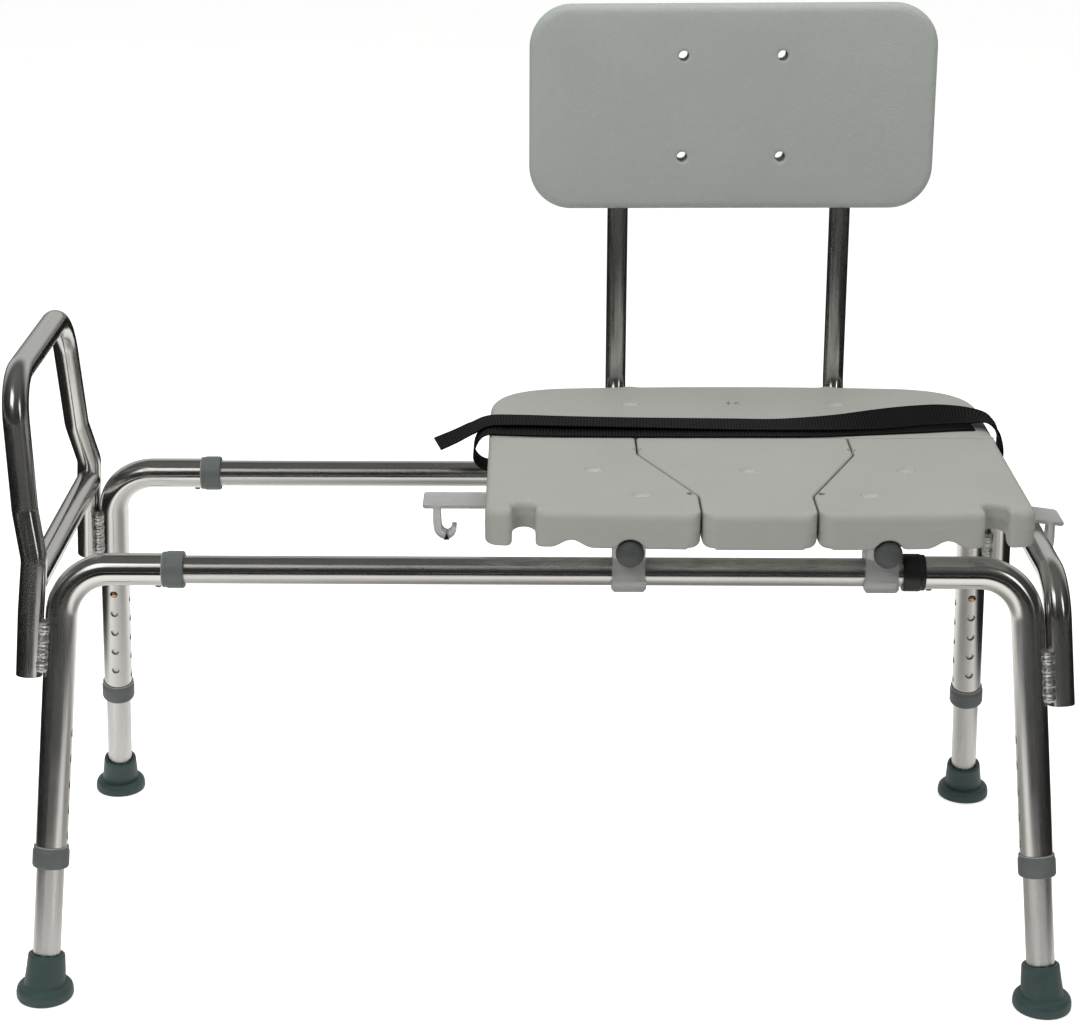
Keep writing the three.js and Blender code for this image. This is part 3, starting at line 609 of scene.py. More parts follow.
DRILL_IN = 8.0  # a leg's drilled hole starts this far from its axis, inside its bore
INNER_DRILL_IN = 6.0  # the same in a rail or a leg extension


def leg_holes(leg):
    """The two staggered rows of height holes, each through the bench-side wall."""
    bores = []
    for i in range(HOLE_COUNT):
        side = SIDE_HOLE_TOP - i * HOLE_PITCH
        cross = CROSS_HOLE_TOP - i * HOLE_PITCH
        bores.append((leg.at(side, along=-DRILL_IN), leg.at(side, along=-OUTER_OD), HOLE_R))
        bores.append((leg.at(cross, across=-DRILL_IN), leg.at(cross, across=-OUTER_OD), HOLE_R))
    return bores


def leg_tube(leg):
    """The outer tube, bent from the leg into its stub at rail height, with its holes."""
    line = bent_line([
        (leg.sx * STUB_END, leg.sy * RAIL_Y, RAIL_Z), leg.corner, leg.at(leg.tube_end),
    ], [LEG_BEND_R], spacing=7.0)
    name = f"outer_leg_{leg.name}"
    made = tube(name, line, OUTER_OD, WALL, POLISHED)
    button = (leg.sx * RAIL_BUTTON_X, leg.sy * RAIL_Y)
    bores = leg_holes(leg) + [((*button, RAIL_Z - DRILL_IN), (*button, RAIL_Z - OUTER_OD), HOLE_R)]
    boolean(made, rods(bores))
    follow(made, line)
    return finish_piece(made, "frame", "tube_aluminium", f"leg_tube_{leg.name}")


def leg_extension(leg):
    """The inner tube, with one hole for its button."""
    low, high = box_mm(f"leg_extension_{leg.name}")
    reach = RAIL_OD / 2 * leg.tilt
    ends = [(low[Z] + reach) / leg.up[Z], (high[Z] - reach) / leg.up[Z]]
    line = bent_line([leg.at(ends[0]), leg.at(ends[1])], [], spacing=7.0)
    made = tube(f"leg_extension_tube_{leg.name}", line, RAIL_OD, WALL, SATIN)
    inner_end = leg.at(CROSS_HOLE_TOP, across=-INNER_DRILL_IN)
    boolean(made, rods([(inner_end, leg.at(CROSS_HOLE_TOP, across=-OUTER_OD), HOLE_R)]))
    follow(made, line)
    return finish_piece(made, f"leg_{leg.name}", "tube_aluminium", f"leg_extension_{leg.name}")


def foot_tip(leg):
    """Moulded rubber tip: a flange flat on the floor, a groove, then a tilted tapering sleeve."""
    node = f"foot_tip_{leg.name}"
    centre = np.array([middle(node, X), middle(node, Y), 0.0])
    flange = extent(node, X) / 2
    play = 0.25
    bore, top = RAIL_OD / 2 + play, 43.5
    # (radius, height along the leg, how far the ring has turned from the floor to the leg)
    rings_plan = [
        (flange - 9.0, 0.0, 0.0), (flange - 2.4, 0.0, 0.0), (flange - 0.9, 0.6, 0.0),
        (flange - 0.2, 2.0, 0.0), (flange, 4.4, 0.0), (flange - 0.2, 7.6, 0.0), (flange - 0.9, 10.4, 0.05),
        (flange - 2.2, 12.3, 0.1), (flange - 3.9, 13.3, 0.15), (flange - 5.8, 13.7, 0.2), (20.7, 13.8, 0.3),
        (20.3, 14.3, 0.35), (20.1, 15.6, 0.45), (19.8, 20.0, 0.75), (19.4, 25.0, 0.95),
        (19.0, 30.0, 1.0), (18.1, 41.2, 1.0), (17.8, 42.6, 1.0), (17.1, 43.3, 1.0), (16.0, top, 1.0),
        (bore + 0.8, top - 0.2, 1.0), (bore + 0.2, top - 1.4, 1.0), (bore, 40.0, 1.0), (bore, 9.5, 1.0),
    ]
    rings = []
    for radius, up, share in rings_plan:
        axis = np.array([0.0, 0.0, 1.0]) * (1 - share) + leg.up * share
        axis /= np.linalg.norm(axis)
        side = np.array([1.0, 0, 0]) - axis * axis[0]
        side /= np.linalg.norm(side)
        other = np.cross(axis, side)
        base = centre + np.array([0, 0, up])
        rings.append(ring_points(base * (1 - share) + leg.at(up) * share, side, other, radius, 64))
    points, faces = loft(rings, closed=False)
    made = outward(make_object(f"rubber_foot_{leg.name}", points, faces, FOOT_RUBBER))
    shade(made, 40)
    return finish_piece(made, f"leg_{leg.name}", "foot_rubber", node)


COLLAR_PROFILE = [
    # (radius, distance from the small end, rounding)
    (13.7, 0.0, 0.3), (17.2, 0.0, 0.8), (17.9, 2.0, 0.9), (17.9, 15.6, 1.0), (17.1, 17.2, 0.6),
    (17.1, 20.4, 0.6), (16.6, 21.0, 0.3), (15.75, 21.0, 0.2), (15.75, 4.7, 0.2), (13.75, 4.7, 0.3),
]
LIP_START = 19.6  # from the small end; the lip's painted highlight starts here
COLLAR_OUT = 5.0  # how far a collar's small end stands out of its tube


def collar(name, matrix, material, node):
    """A stepped bush; the thin lip round its wide end is painted paler than the rest, a painted highlight.
    """
    outline = fillet(COLLAR_PROFILE, 3)
    made = outward(turned(name, outline, material, matrix, 56, closed=True))
    made.data.materials.append(LIP_HIGHLIGHT_PLASTIC if material is GREY_PLASTIC else material)
    back = matrix.inverted()
    for polygon in made.data.polygons:
        where = (polygon.center - Vector(place([0, 0, 0]))) / MM
        # faces past LIP_START take the lip's painted highlight
        if (back @ where).z > LIP_START:
            polygon.material_index = 1
    return finish_piece(made, "frame", "grey_plastic", node)


BUTTON_PROFILE = [
    # (radius, distance from the tube's axis)
    (0.0, 8.5), (3.0, 8.5), (3.4, 8.9), (3.4, 15.6), (3.3, 16.4), (3.0, 17.1), (2.5, 17.6), (1.9, 17.9),
    (1.0, 18.08), (0.0, 18.1),
]


def snap_button(name, matrix, body, node, material):
    """A domed pin that stands out through the hole of its tube."""
    made = outward(turned(name, BUTTON_PROFILE, material, matrix, 28))
    return finish_piece(made, body, "button_metal", node)


WELD_SIDEWAYS = OUTER_OD / 2 + 0.4  # from the leg's axis to the crevice that the bead fills
WELD_FORWARD = 8.6
WELD_HALF = 5.2   # half the bead's width, and half its depth
WELD_PITCH = 2.3  # from one puddle to the next


def weld_bead(leg, points):
    """A row of overlapping weld puddles along the crevice between two tubes, with a heavier
    blob where the bead was started and a crater where it was left."""
    line = bent_line(points, [], spacing=0.3)
    _, side, other = frames_along(line)
    run = np.concatenate([[0], np.cumsum(np.linalg.norm(np.diff(line, axis=0), axis=1))])
    turn = full_turn(32)
    rings = []
    for i, (centre, distance) in enumerate(zip(line, run)):
        left = run[-1] - distance
        taper = math.sqrt(max(0.015, min(1.0, min(distance, left) / 3.5)))
        start = 1.5 * math.exp(-((left - 5.0) / 3.0) ** 2) + 0.9 * math.exp(-((distance - 4.0) / 2.2) ** 2)
        wander = 0.7 * math.sin(distance * 0.55) + 0.35 * math.sin(distance * 1.7 + 1)
        phase = (distance + 1.6 * np.abs(np.cos(turn)) - 1.3 * np.abs(np.sin(turn))) / WELD_PITCH
        ripple = 0.55 * np.sqrt(np.abs(np.cos(np.pi * phase))) + 0.2 * math.sin(distance * 0.8)
        wide = taper * (WELD_HALF + start - 0.6 + ripple)
        deep = taper * (WELD_HALF + 0.8 * start - 0.6 + ripple)
        rings.append(centre + side[i] * wander * taper + np.outer(np.cos(turn) * wide, side[i])
                     + np.outer(np.sin(turn) * deep, other[i]))
    made_points, faces = loft(rings, closed=False)
    made = outward(make_object(f"weld_{leg.name}", made_points, faces, WELD))
    shade(made, 60)
    return finish_piece(made, "frame", "weld_metal", f"weld_bead_{leg.name}")


def straight_tube(name, start, end, od, wall, material, node, bores=()):
    """A straight tube of the frame, with round holes where bores are given."""
    line = bent_line([start, end], [], spacing=20.0)
    made = tube(name, line, od, wall, material)
    if bores:
        boolean(made, rods(bores))
    follow(made, line)
    return finish_piece(made, "frame", "tube_aluminium", node)


for leg in LEGS.values():
    leg_tube(leg)
    leg_extension(leg)
    foot_tip(leg)
    collar(f"leg_bush_{leg.name}", leg.matrix(leg.tube_end - COLLAR_OUT), GREY_PLASTIC,
           f"leg_collar_{leg.name}")
    # the front right rail's bush is of black plastic, unlike the other seven
    rail_bush = DARK_PLASTIC if leg.name == "front_right" else GREY_PLASTIC
    collar_start = (leg.sx * (STUB_END - COLLAR_OUT), leg.sy * RAIL_Y, RAIL_Z)
    collar(f"rail_bush_{leg.name}", axis_matrix(collar_start, (leg.sx, 0, 0), (0, 0, 1)),
           rail_bush, f"rail_collar_{leg.name}")
    snap_button(f"leg_snap_dome_{leg.name}", axis_matrix(leg.at(CROSS_HOLE_TOP), -leg.across),
                f"leg_snap_{leg.name}", f"leg_button_{leg.name}", COPPER)
    snap_button(f"rail_snap_dome_{leg.name}",
                axis_matrix((leg.sx * RAIL_BUTTON_X, leg.sy * RAIL_Y, RAIL_Z), (0, 0, -1)),
                f"rail_snap_{leg.name}", f"rail_button_{leg.name}", DARK_METAL)

for side_name, sy in (("front", -1), ("rear", 1)):
    rail_y = sy * RAIL_Y
    holes = [((x, rail_y, RAIL_Z - INNER_DRILL_IN), (x, rail_y, RAIL_Z - 20), HOLE_R)
             for x in (-RAIL_BUTTON_X, RAIL_BUTTON_X)]
    straight_tube(f"{side_name}_rail_tube", (-RAIL_HALF, rail_y, RAIL_Z), (RAIL_HALF, rail_y, RAIL_Z),
                  RAIL_OD, WALL, RAIL_METAL, f"{side_name}_rail", holes)

# ---- end loops -------------------------------------------------------------------------


def mirrored(half):
    """The corners of a line that runs on, mirrored, from the front half to the rear half."""
    return list(half) + [(x, -y, z) for x, y, z in reversed(half)]


def beside(leg, z, offset, spread=0.0):
    """A point beside a leg at a height, outside it along X."""
    on_leg = leg.foot + leg.up * z / leg.up[Z]
    return (on_leg[X] + leg.sx * offset, on_leg[Y] + leg.sy * spread, z)


GAP = 0.3  # between two pieces that touch
LOOP_OFFSET = (OUTER_OD + LOOP_OD) / 2 + GAP
HOOP_OFFSET = (OUTER_OD + HOOP_OD) / 2 + GAP
left_leg, right_leg = LEGS["front_left"], LEGS["front_right"]
# the front half of the loop's line, from its low end to its top
LOOP_HALF = [
    beside(left_leg, 313, LOOP_OFFSET, 2.5), beside(left_leg, 375, LOOP_OFFSET, 7), (-482.5, -153, 425),
    (-491, -139.5, 470), (-498, -124, 594),
]
loop_line = bent_line(mirrored(LOOP_HALF), [60, 30, 30, 47, 47, 30, 30, 60])
handle_loop = tube("handle_loop_tube", loop_line, LOOP_OD, LOOP_WALL, POLISHED)
follow(handle_loop, loop_line)
finish_piece(handle_loop, "frame", "tube_aluminium", "left_handle_loop")

HOOP_HALF = [beside(right_leg, 290, HOOP_OFFSET), beside(right_leg, 405, HOOP_OFFSET)]
hoop_line = bent_line(mirrored(HOOP_HALF), [45, 45])
hoop = tube("right_hoop_tube", hoop_line, HOOP_OD, LOOP_WALL, POLISHED)
follow(hoop, hoop_line)
finish_piece(hoop, "frame", "tube_aluminium", "right_hoop")

CROSSBAR_X, CROSSBAR_Z = middle("left_crossbar", X), middle("left_crossbar", Z)
CROSSBAR_HALF = 150.0
straight_tube("crossbar_tube", (CROSSBAR_X, -CROSSBAR_HALF, CROSSBAR_Z),
              (CROSSBAR_X, CROSSBAR_HALF, CROSSBAR_Z), HOOP_OD, LOOP_WALL, POLISHED, "left_crossbar")

for leg in LEGS.values():
    low, high = box_mm(f"weld_bead_{leg.name}")
    ends = []
    for end_height in (low[Z] + 0.5, high[Z] - 0.5):
        on_leg = leg.foot + leg.up * end_height / leg.up[Z]
        ends.append((on_leg[X] + leg.sx * WELD_SIDEWAYS, on_leg[Y] - WELD_FORWARD, end_height))
    weld_bead(leg, ends)

# ---- moulded panels --------------------------------------------------------------------


RIDGE = 0.25  # how far a moulding's parting line stands out


def inward_normals(outline):
    """For each point of an outline that runs anticlockwise, the direction into the shape."""
    ahead = np.roll(outline, -1, 0) - outline
    ahead /= np.maximum(np.linalg.norm(ahead, axis=1), 1e-9)[:, None]
    inward = np.column_stack([-ahead[:, 1], ahead[:, 0]])
    both = inward + np.roll(inward, 1, 0)
    unit = both / np.maximum(np.linalg.norm(both, axis=1), 1e-9)[:, None]
    stretch = 1 / np.clip(np.einsum("ij,ij->i", unit, inward), 0.75, 1)
    return unit * stretch[:, None]


def inside(points, outline):
    """True for each point inside a closed outline."""
    x, y = points[:, 0][:, None], points[:, 1][:, None]
    x0, y0 = outline[:, 0][None], outline[:, 1][None]
    x1, y1 = np.roll(outline, -1, 0)[:, 0][None], np.roll(outline, -1, 0)[:, 1][None]
    crosses = (y0 > y) != (y1 > y)
    reach = (x1 - x0) * (y - y0) / np.where(np.abs(y1 - y0) < 1e-12, 1e-12, y1 - y0) + x0
    return (crosses & (x < reach)).sum(axis=1) % 2 == 1


def resample(outline, spacing):
    """The same closed outline with no stretch longer than spacing."""
    points = []
    for a, b in zip(outline, np.roll(outline, -1, 0)):
        pieces = max(1, math.ceil(np.linalg.norm(b - a) / spacing))
        points += [a + (b - a) * k / pieces for k in range(pieces)]
    return np.array(points)


def clear_of(points, others, distance):
    """The points that lie further than distance from every one of the others."""
    gap = np.linalg.norm(points[:, None, :] - others[None], axis=2).min(axis=1)
    return points[gap > distance]


def fill(border, extra, holes=()):
    """Triangles that fill a closed border through extra points, apart from round holes.
    The border's own points come first, then the holes', then the extra ones."""
    room = 1.3  # between the border and the nearest extra point
    circles = [circle for _, _, circle in holes]
    fixed = np.vstack([border, *circles])
    keep = clear_of(extra[inside(extra, border)], fixed, room)
    points = np.vstack([fixed, keep])
    edges, start = [], 0
    for ring in [border, *circles]:
        edges += [(start + i, start + (i + 1) % len(ring)) for i in range(len(ring))]
        start += len(ring)
    result = delaunay_2d_cdt([Vector(p) for p in points], edges, [], 1, 1e-5)
    made_points, _, faces, origin = result[:4]
    assert len(made_points) == len(points), "the triangulation moved points"
    index = [sources[0] for sources in origin]
    triangles = []
    for face in faces:
        triangle = [index[i] for i in face]
        centre = points[triangle].mean(axis=0)
        if any(np.linalg.norm(centre - middle_point) < radius for middle_point, radius, _ in holes):
            continue
        a, b, c = points[triangle]
        if (b[0] - a[0]) * (c[1] - a[1]) - (b[1] - a[1]) * (c[0] - a[0]) < 0:
            triangle.reverse()
        triangles.append(triangle)
    return points, triangles


def panel(name, outline, top, bottom, edge_top, edge_bottom, extra_top, extra_bottom, material,
          holes=(), ridge=0.0, matrix=None):
    """A moulded panel. top and bottom give heights at points; edge_top and edge_bottom give the
    rounding at each outline point; ridge is how far the parting line stands out."""
    normals = inward_normals(outline)
    round_top, round_bottom = edge_top(outline), edge_bottom(outline)
    count = len(outline)
    rings = []
    steps = 6  # in each rounded edge

    def ring(inset, height):
        moved = outline + normals * inset[:, None]
        rings.append(np.column_stack([moved, height]))

    high, low = top(outline), bottom(outline)
    for k in range(steps + 1):
        angle = math.pi / 2 * (1 - k / steps)
        ring(round_top * (1 - math.cos(angle)), high - round_top * (1 - math.sin(angle)))
    half_way = (high + low) / 2
    zero = np.zeros(count)
    if ridge:
        ring(zero, half_way + 1.0)
        ring(zero - ridge, half_way + 0.3)
        ring(zero - ridge, half_way - 0.3)
        ring(zero, half_way - 1.0)
    for k in range(steps + 1):
        angle = math.pi / 2 * k / steps
        ring(round_bottom * (1 - math.cos(angle)), low + round_bottom * (1 - math.sin(angle)))
    faces = []
    for i in range(len(rings) - 1):
        faces += [tuple(reversed(f)) for f in ring_faces(i * count, (i + 1) * count, count)]
    points = np.vstack(rings)

    turn = full_turn(32)
    circle = np.column_stack([np.cos(turn), np.sin(turn)])
    circles = [(np.array(centre), radius, np.array(centre) + radius * circle) for centre, radius in holes]
    covers = []
    for border, extra, height, first, upward in (
            (rings[0][:, :2], extra_top, top, 0, True),
            (rings[-1][:, :2], extra_bottom, bottom, (len(rings) - 1) * count, False)):
        flat, triangles = fill(border, extra, circles)
        new = flat[count:]
        base = len(points)
        points = np.vstack([points, np.column_stack([new, height(new)])])
        for triangle in triangles:
            corners = [first + i if i < count else base + i - count for i in triangle]
            faces.append(tuple(corners if upward else reversed(corners)))
        covers.append(base)
    for number, (_, _, circle) in enumerate(circles):
        size = len(circle)
        upper = covers[0] + number * size
        lower = covers[1] + number * size
        for i in range(size):
            after = (i + 1) % size
            faces.append((upper + i, upper + after, lower + after, lower + i))
    if matrix is not None:
        points = np.array([matrix @ Vector(p) for p in points])
    made = outward(make_object(name, points, faces, material))
    shade(made, 45)
    return made


def lattice(low, high, spacing, special_x=(), special_y=()):
    """Points of a grid over a rectangle, with extra columns and rows where they are needed."""
    xs = np.unique(np.concatenate([np.arange(low[0], high[0], spacing), special_x]).round(3))
    ys = np.unique(np.concatenate([np.arange(low[1], high[1], spacing), special_y]).round(3))
    gx, gy = np.meshgrid(xs, ys)
    return np.column_stack([gx.ravel(), gy.ravel()])


def thin_out(points, spacing=1.3):
    """Drops points that lie closer than spacing to one before them."""
    kept, cells = [], {}
    for p in points:
        cell = (int(p[0] // spacing), int(p[1] // spacing))
        around = [(cell[0] + i, cell[1] + j) for i in (-1, 0, 1) for j in (-1, 0, 1)]
        near = [q for nearby in around for q in cells.get(nearby, ())]
        if all((p[0] - q[0]) ** 2 + (p[1] - q[1]) ** 2 > spacing**2 for q in near):
            kept.append(p)
            cells.setdefault(cell, []).append(p)
    return np.array(kept)


def rosette(centre, radii, count):
    """Points in rings about a centre, and the centre last."""
    turn = full_turn(count)
    circle = np.column_stack([np.cos(turn), np.sin(turn)])
    return np.vstack([np.array(centre) + r * circle for r in radii] + [np.array([centre])])


# ---- seat ------------------------------------------------------------------------------

SEAM = 0.8  # half the gap between two seat panels
SEAM_Y = box_mm("seat_rear_panel")[0][Y] - SEAM
FRONT_BOW = 12.0  # how far the front edge falls back towards the seat's ends
INSERT_WIDE, INSERT_NARROW = 107.0, 54.0  # half the insert's width at its rear and front
NOTCH_X, NOTCH_R, NOTCH_Y = 219.5, 11.0, -153.0  # the slot in each wing's front edge
NOTCH_ARCH = 9.5  # how far the skirt is cut away below the notch's back wall
DIMPLES = [(-108, 176), (108, 176), (-152, -45), (152, -45), (-107.5, -119.5), (107.5, -119.5), (0, -46)]
DIMPLE_R, DIMPLE_DEEP = 8.4, 3.0
DIMPLE_LONG = 1.2  # a dimple's length over its width
PINHOLES = [(-4, 179), (4, 179)]
KINKS = [(107, 20), (62, -117)]  # small locating notches in the seams, each side
KINK_R = 2.6
KINK_DEEP = 6.0
FINGER_X, FINGER_HALF, FINGER_HIGH = 175.0, 20.0, 7.5  # the arch under each wing's front edge
CAP_R = 15.0
CAP_Y = box_mm("tube_cap_right")[1][Y] + 1.5
FOLD_FRONT, FOLD_SIDE, FOLD_SEAM = 9.0, 7.0, 2.4  # edge rounding, upper face


def front_edge(x):
    """The front edge's Y at a distance from the seat's middle."""
    return SEAT_FRONT + FRONT_BOW * (np.asarray(x, float) / SEAT_HALF) ** 2


def smooth(share):
    """Eases a share from 0 to 1 so that it starts and ends level."""
    return share * share * (3 - 2 * share)


def seat_top(points):
    """Height of the seat's upper face: flat, with moulded dimples, pinholes and seam notches."""
    height = np.full(len(points), SEAT_TOP)
    x, y = points[:, 0] - SEAT_X, points[:, 1]
    for cx, cy in DIMPLES:
        r = np.hypot((x - cx) / DIMPLE_LONG, y - cy) / DIMPLE_R
        wall = np.clip((r - 0.62) / 0.38, 0, 1)
        height -= DIMPLE_DEEP * (1 - smooth(wall))
        height += 0.25 * np.exp(-((r - 1.12) / 0.13) ** 2)
    for cx, cy in PINHOLES:
        r = np.hypot(x - cx, y - cy)
        height -= np.where(r < 1.6, 2.0, 0)
    for cx, cy in KINKS:
        for side in (-1, 1):
            r = np.hypot(x - side * cx, y - cy)
            height -= np.where(r < KINK_R, KINK_DEEP, 0)
    return height


def seat_bottom(points):
    """Height of the seat's lower face, with tube channels, cap arches and finger arches."""
    height = np.full(len(points), SEAT_BOTTOM)
    x, y = points[:, 0] - SEAT_X, points[:, 1]
    for side in (-1, 1):
        # the channel over a seat tube, wider over its cap
        dx = np.abs(x - side * POST_X)
        radius = np.where(y < CAP_Y, CAP_R, POST_OD / 2 + 0.7)
        crown = POST_Z + np.sqrt(np.maximum(radius**2 - dx**2, 0))
        height = np.maximum(height, np.where(dx < radius, crown, SEAT_BOTTOM))
        # the finger arch at the front edge
        reach = np.clip((-105 - y) / 25, 0, 1)
        arch = np.cos(np.pi / 2 * np.clip(np.abs(x - side * FINGER_X) / FINGER_HALF, 0, 1)) ** 2
        height = np.maximum(height, SEAT_BOTTOM + FINGER_HIGH * arch * reach)
        # the arch below the notch's back wall
        dome = np.sqrt(np.clip(1 - ((x - side * NOTCH_X) / (NOTCH_R + 3.0)) ** 2, 0, 1))
        behind = np.clip((y - NOTCH_Y + 2) / 6, 0, 1) * np.clip((NOTCH_Y + 50 - y) / 14, 0, 1)
        height = np.maximum(height, SEAT_BOTTOM + NOTCH_ARCH * dome * behind)
    return height


CHANNEL_STEPS = (0, 2.5, 5, 8, 10.5, 11.8, 13, 14.9)  # from a tube channel's middle
CHANNEL_X = [SEAT_X + side * POST_X + way * dx
             for side in (-1, 1) for way in (-1, 1) for dx in CHANNEL_STEPS]
DIMPLE_RINGS = (3, 4.6, 5.3, 5.9, 6.5, 7.1, 7.7, 8.3, 8.9, 9.6, 10.4, 11.5, 13)


def seat_extras(low, high):
    """Points inside the upper and lower faces: a grid, closer where there is detail."""
    detail = [rosette((SEAT_X + cx, cy), DIMPLE_RINGS, 36) for cx, cy in DIMPLES]
    detail += [rosette((SEAT_X + cx, cy), (1.45, 1.75), 12)[:-1] for cx, cy in PINHOLES]
    detail += [rosette((SEAT_X + side * cx, cy), (1.2, 2.3, 2.9, 4.4), 18)
               for cx, cy in KINKS for side in (-1, 1)]
    top = thin_out(np.vstack(detail + [lattice(low, high, 7.0)]), 0.8)
    bottom = thin_out(lattice(low, high, 9.0, CHANNEL_X, [CAP_Y - 0.7, CAP_Y + 0.7]), 0.5)
    return top, bottom


def by_place(front, side, seam, seam_lines):
    """Edge rounding at each outline point: one value at the front, one at the outer sides and
    one along the seams, joined smoothly."""
    def edge(points):
        x, y = points[:, 0] - SEAT_X, points[:, 1]
        to_seam = seam_lines(x, y)
        at_front = np.clip((y - (front_edge(x) + 4)) / 14, 0, 1)
        outer = front * (1 - at_front) + side * at_front
        share = smooth(np.clip((to_seam - 1.5) / 10, 0, 1))
        value = seam * (1 - share) + outer * share
        # round the notch the rounding is tighter at its mouth
        funnel = np.minimum(value, 4.5 + 3.0 * np.clip((y - NOTCH_Y) / NOTCH_R, 0, 1))
        away = np.hypot(np.abs(x) - NOTCH_X, np.minimum(y - NOTCH_Y, 0) * 0.2) - NOTCH_R - 0.6
        leaving = np.where(y > NOTCH_Y + 30, 1.0, smooth(np.clip(away / 9, 0, 1)))
        return funnel * (1 - leaving) + value * leaving
    return edge


def insert_side(y):
    """Half the insert's width at y."""
    slope = np.clip((5 - y) / 127, 0, 1)
    return INSERT_WIDE + (INSERT_NARROW - INSERT_WIDE) * slope


def wing_seams(x, y):
    """Distance to the nearest seam between two panels."""
    return np.minimum(np.abs(np.abs(x) - insert_side(y)), np.abs(y - SEAM_Y))


def rear_outline():
    """The rear panel's outline, anticlockwise, with a bowed back edge and wide corners."""
    left, right = SEAT_X - SEAT_HALF, SEAT_X + SEAT_HALF
    rounded, bow = 78.0, SEAT_REAR - 7
    corners = [(left, SEAM_Y + SEAM, 6), (right, SEAM_Y + SEAM, 6)]
    start = fillet(corners + [(right, bow, 0), (left, bow, 0)], 4)[:-2]

    def arc(p0, p1, p2, steps):
        t = np.linspace(0, 1, steps)[:, None]
        p0, p1, p2 = map(np.array, (p0, p1, p2))
        return (1 - t) ** 2 * p0 + 2 * t * (1 - t) * p1 + t**2 * p2

    back = np.vstack([
        arc((right, bow - rounded), (right, bow - 8), (right - rounded, bow), 24),
        arc((right - rounded, bow), (SEAT_X, SEAT_REAR + 6), (left + rounded, bow), 30)[1:],
        arc((left + rounded, bow), (left, bow - 8), (left, bow - rounded), 24)[1:],
    ])
    return resample(np.vstack([start, back]), 4.0)


def wing_outline(side):
    """The wing's outline, anticlockwise, for the right-hand side, mirrored for the left."""
    inner, outer = INSERT_NARROW + SEAM, SEAT_HALF
    corners = [
        (INSERT_WIDE + SEAM, SEAM_Y - SEAM, 4), (INSERT_WIDE + SEAM, 5, 30), (inner, -122, 18),
        (inner, float(front_edge(inner)), 13),
    ]
    corners += [(x, float(front_edge(x)), 0) for x in np.linspace(inner + 22, NOTCH_X - NOTCH_R - 8, 8)]
    mouth = float(front_edge(NOTCH_X))
    corners += [
        (NOTCH_X - NOTCH_R, mouth, 5.5), (NOTCH_X - NOTCH_R, NOTCH_Y + NOTCH_R, NOTCH_R - 0.05),
        (NOTCH_X + NOTCH_R, NOTCH_Y + NOTCH_R, NOTCH_R - 0.05), (NOTCH_X + NOTCH_R, mouth, 5.5),
        (outer, float(front_edge(outer)), 14), (outer, SEAM_Y - SEAM, 6),
    ]
    outline = fillet(corners, 9)
    outline[:, 0] = SEAT_X + side * outline[:, 0]
    if side < 0:
        outline = outline[::-1]
    return resample(outline, 4.0)


def insert_outline():
    """The insert's outline, anticlockwise."""
    wide, narrow = INSERT_WIDE - SEAM, INSERT_NARROW - SEAM
    half = [
        (narrow, float(front_edge(narrow)), 13), (narrow, -122, 18), (wide, 5, 30),
        (wide, SEAM_Y - SEAM, 4),
    ]
    left = [(-x, y, r) for x, y, r in reversed(half)]
    middle_points = [(x, float(front_edge(x)), 0) for x in np.linspace(-34, 34, 5)]
    outline = fillet(left + middle_points + half, 9)
    outline[:, 0] += SEAT_X
    return resample(outline, 4.0)


def mark_pin_skin_and_highlight(made):
    """Gives the floors of the dimples the smooth skin that mould pins leave, in a lighter colour that is a
    painted highlight.
    """
    made.data.materials.append(PIN_SKIN_AND_HIGHLIGHT)
    for polygon in made.data.polygons:
        at = (np.array(polygon.center) - np.array([0.0, MIDDLE_Y, 0.0])) / MM
        near = min(math.hypot((at[X] - SEAT_X - cx) / DIMPLE_LONG, at[Y] - cy) for cx, cy in DIMPLES)
        # faces in a dimple's floor take the smooth skin and the painted highlight
        if near < 0.86 * DIMPLE_R and at[Z] > SEAT_TOP - DIMPLE_DEEP - 1:
            polygon.material_index = 1


def add_seat():
    edges_top = by_place(FOLD_FRONT, FOLD_SIDE, FOLD_SEAM, wing_seams)
    edges_bottom = by_place(4.5, 4.5, 3.0, wing_seams)

    def corner_bottom(points):
        x, y = points[:, 0] - SEAT_X, points[:, 1]
        near = np.clip(1 - (y - front_edge(x)) / 40, 0, 1) * (np.abs(np.abs(x) - INSERT_NARROW) < 12)
        return edges_bottom(points) * (1 - near) + 9.0 * near

    low, high = (SEAT_X - SEAT_HALF, SEAT_FRONT), (SEAT_X + SEAT_HALF, SEAT_REAR)
    extra_top, extra_bottom = seat_extras(low, high)
    plan = [
        ("seat_rear_moulding", rear_outline(), "carriage", "seat_rear_panel"),
        ("seat_left_moulding", wing_outline(-1), "carriage", "seat_left_wing"),
        ("seat_right_moulding", wing_outline(1), "carriage", "seat_right_wing"),
        ("seat_insert_moulding", insert_outline(), "insert", "seat_insert"),
    ]
    for name, outline, body, node in plan:
        made = panel(name, outline, seat_top, seat_bottom, edges_top, corner_bottom,
                     extra_top, extra_bottom, SEAT_PLASTIC, ridge=RIDGE)
        mark_pin_skin_and_highlight(made)
        finish_piece(made, body, "seat_plastic", node)


add_seat()

# ---- backrest --------------------------------------------------------------------------


LEAN = 0.05  # of the backrest and its tubes, towards the rear for each unit of height


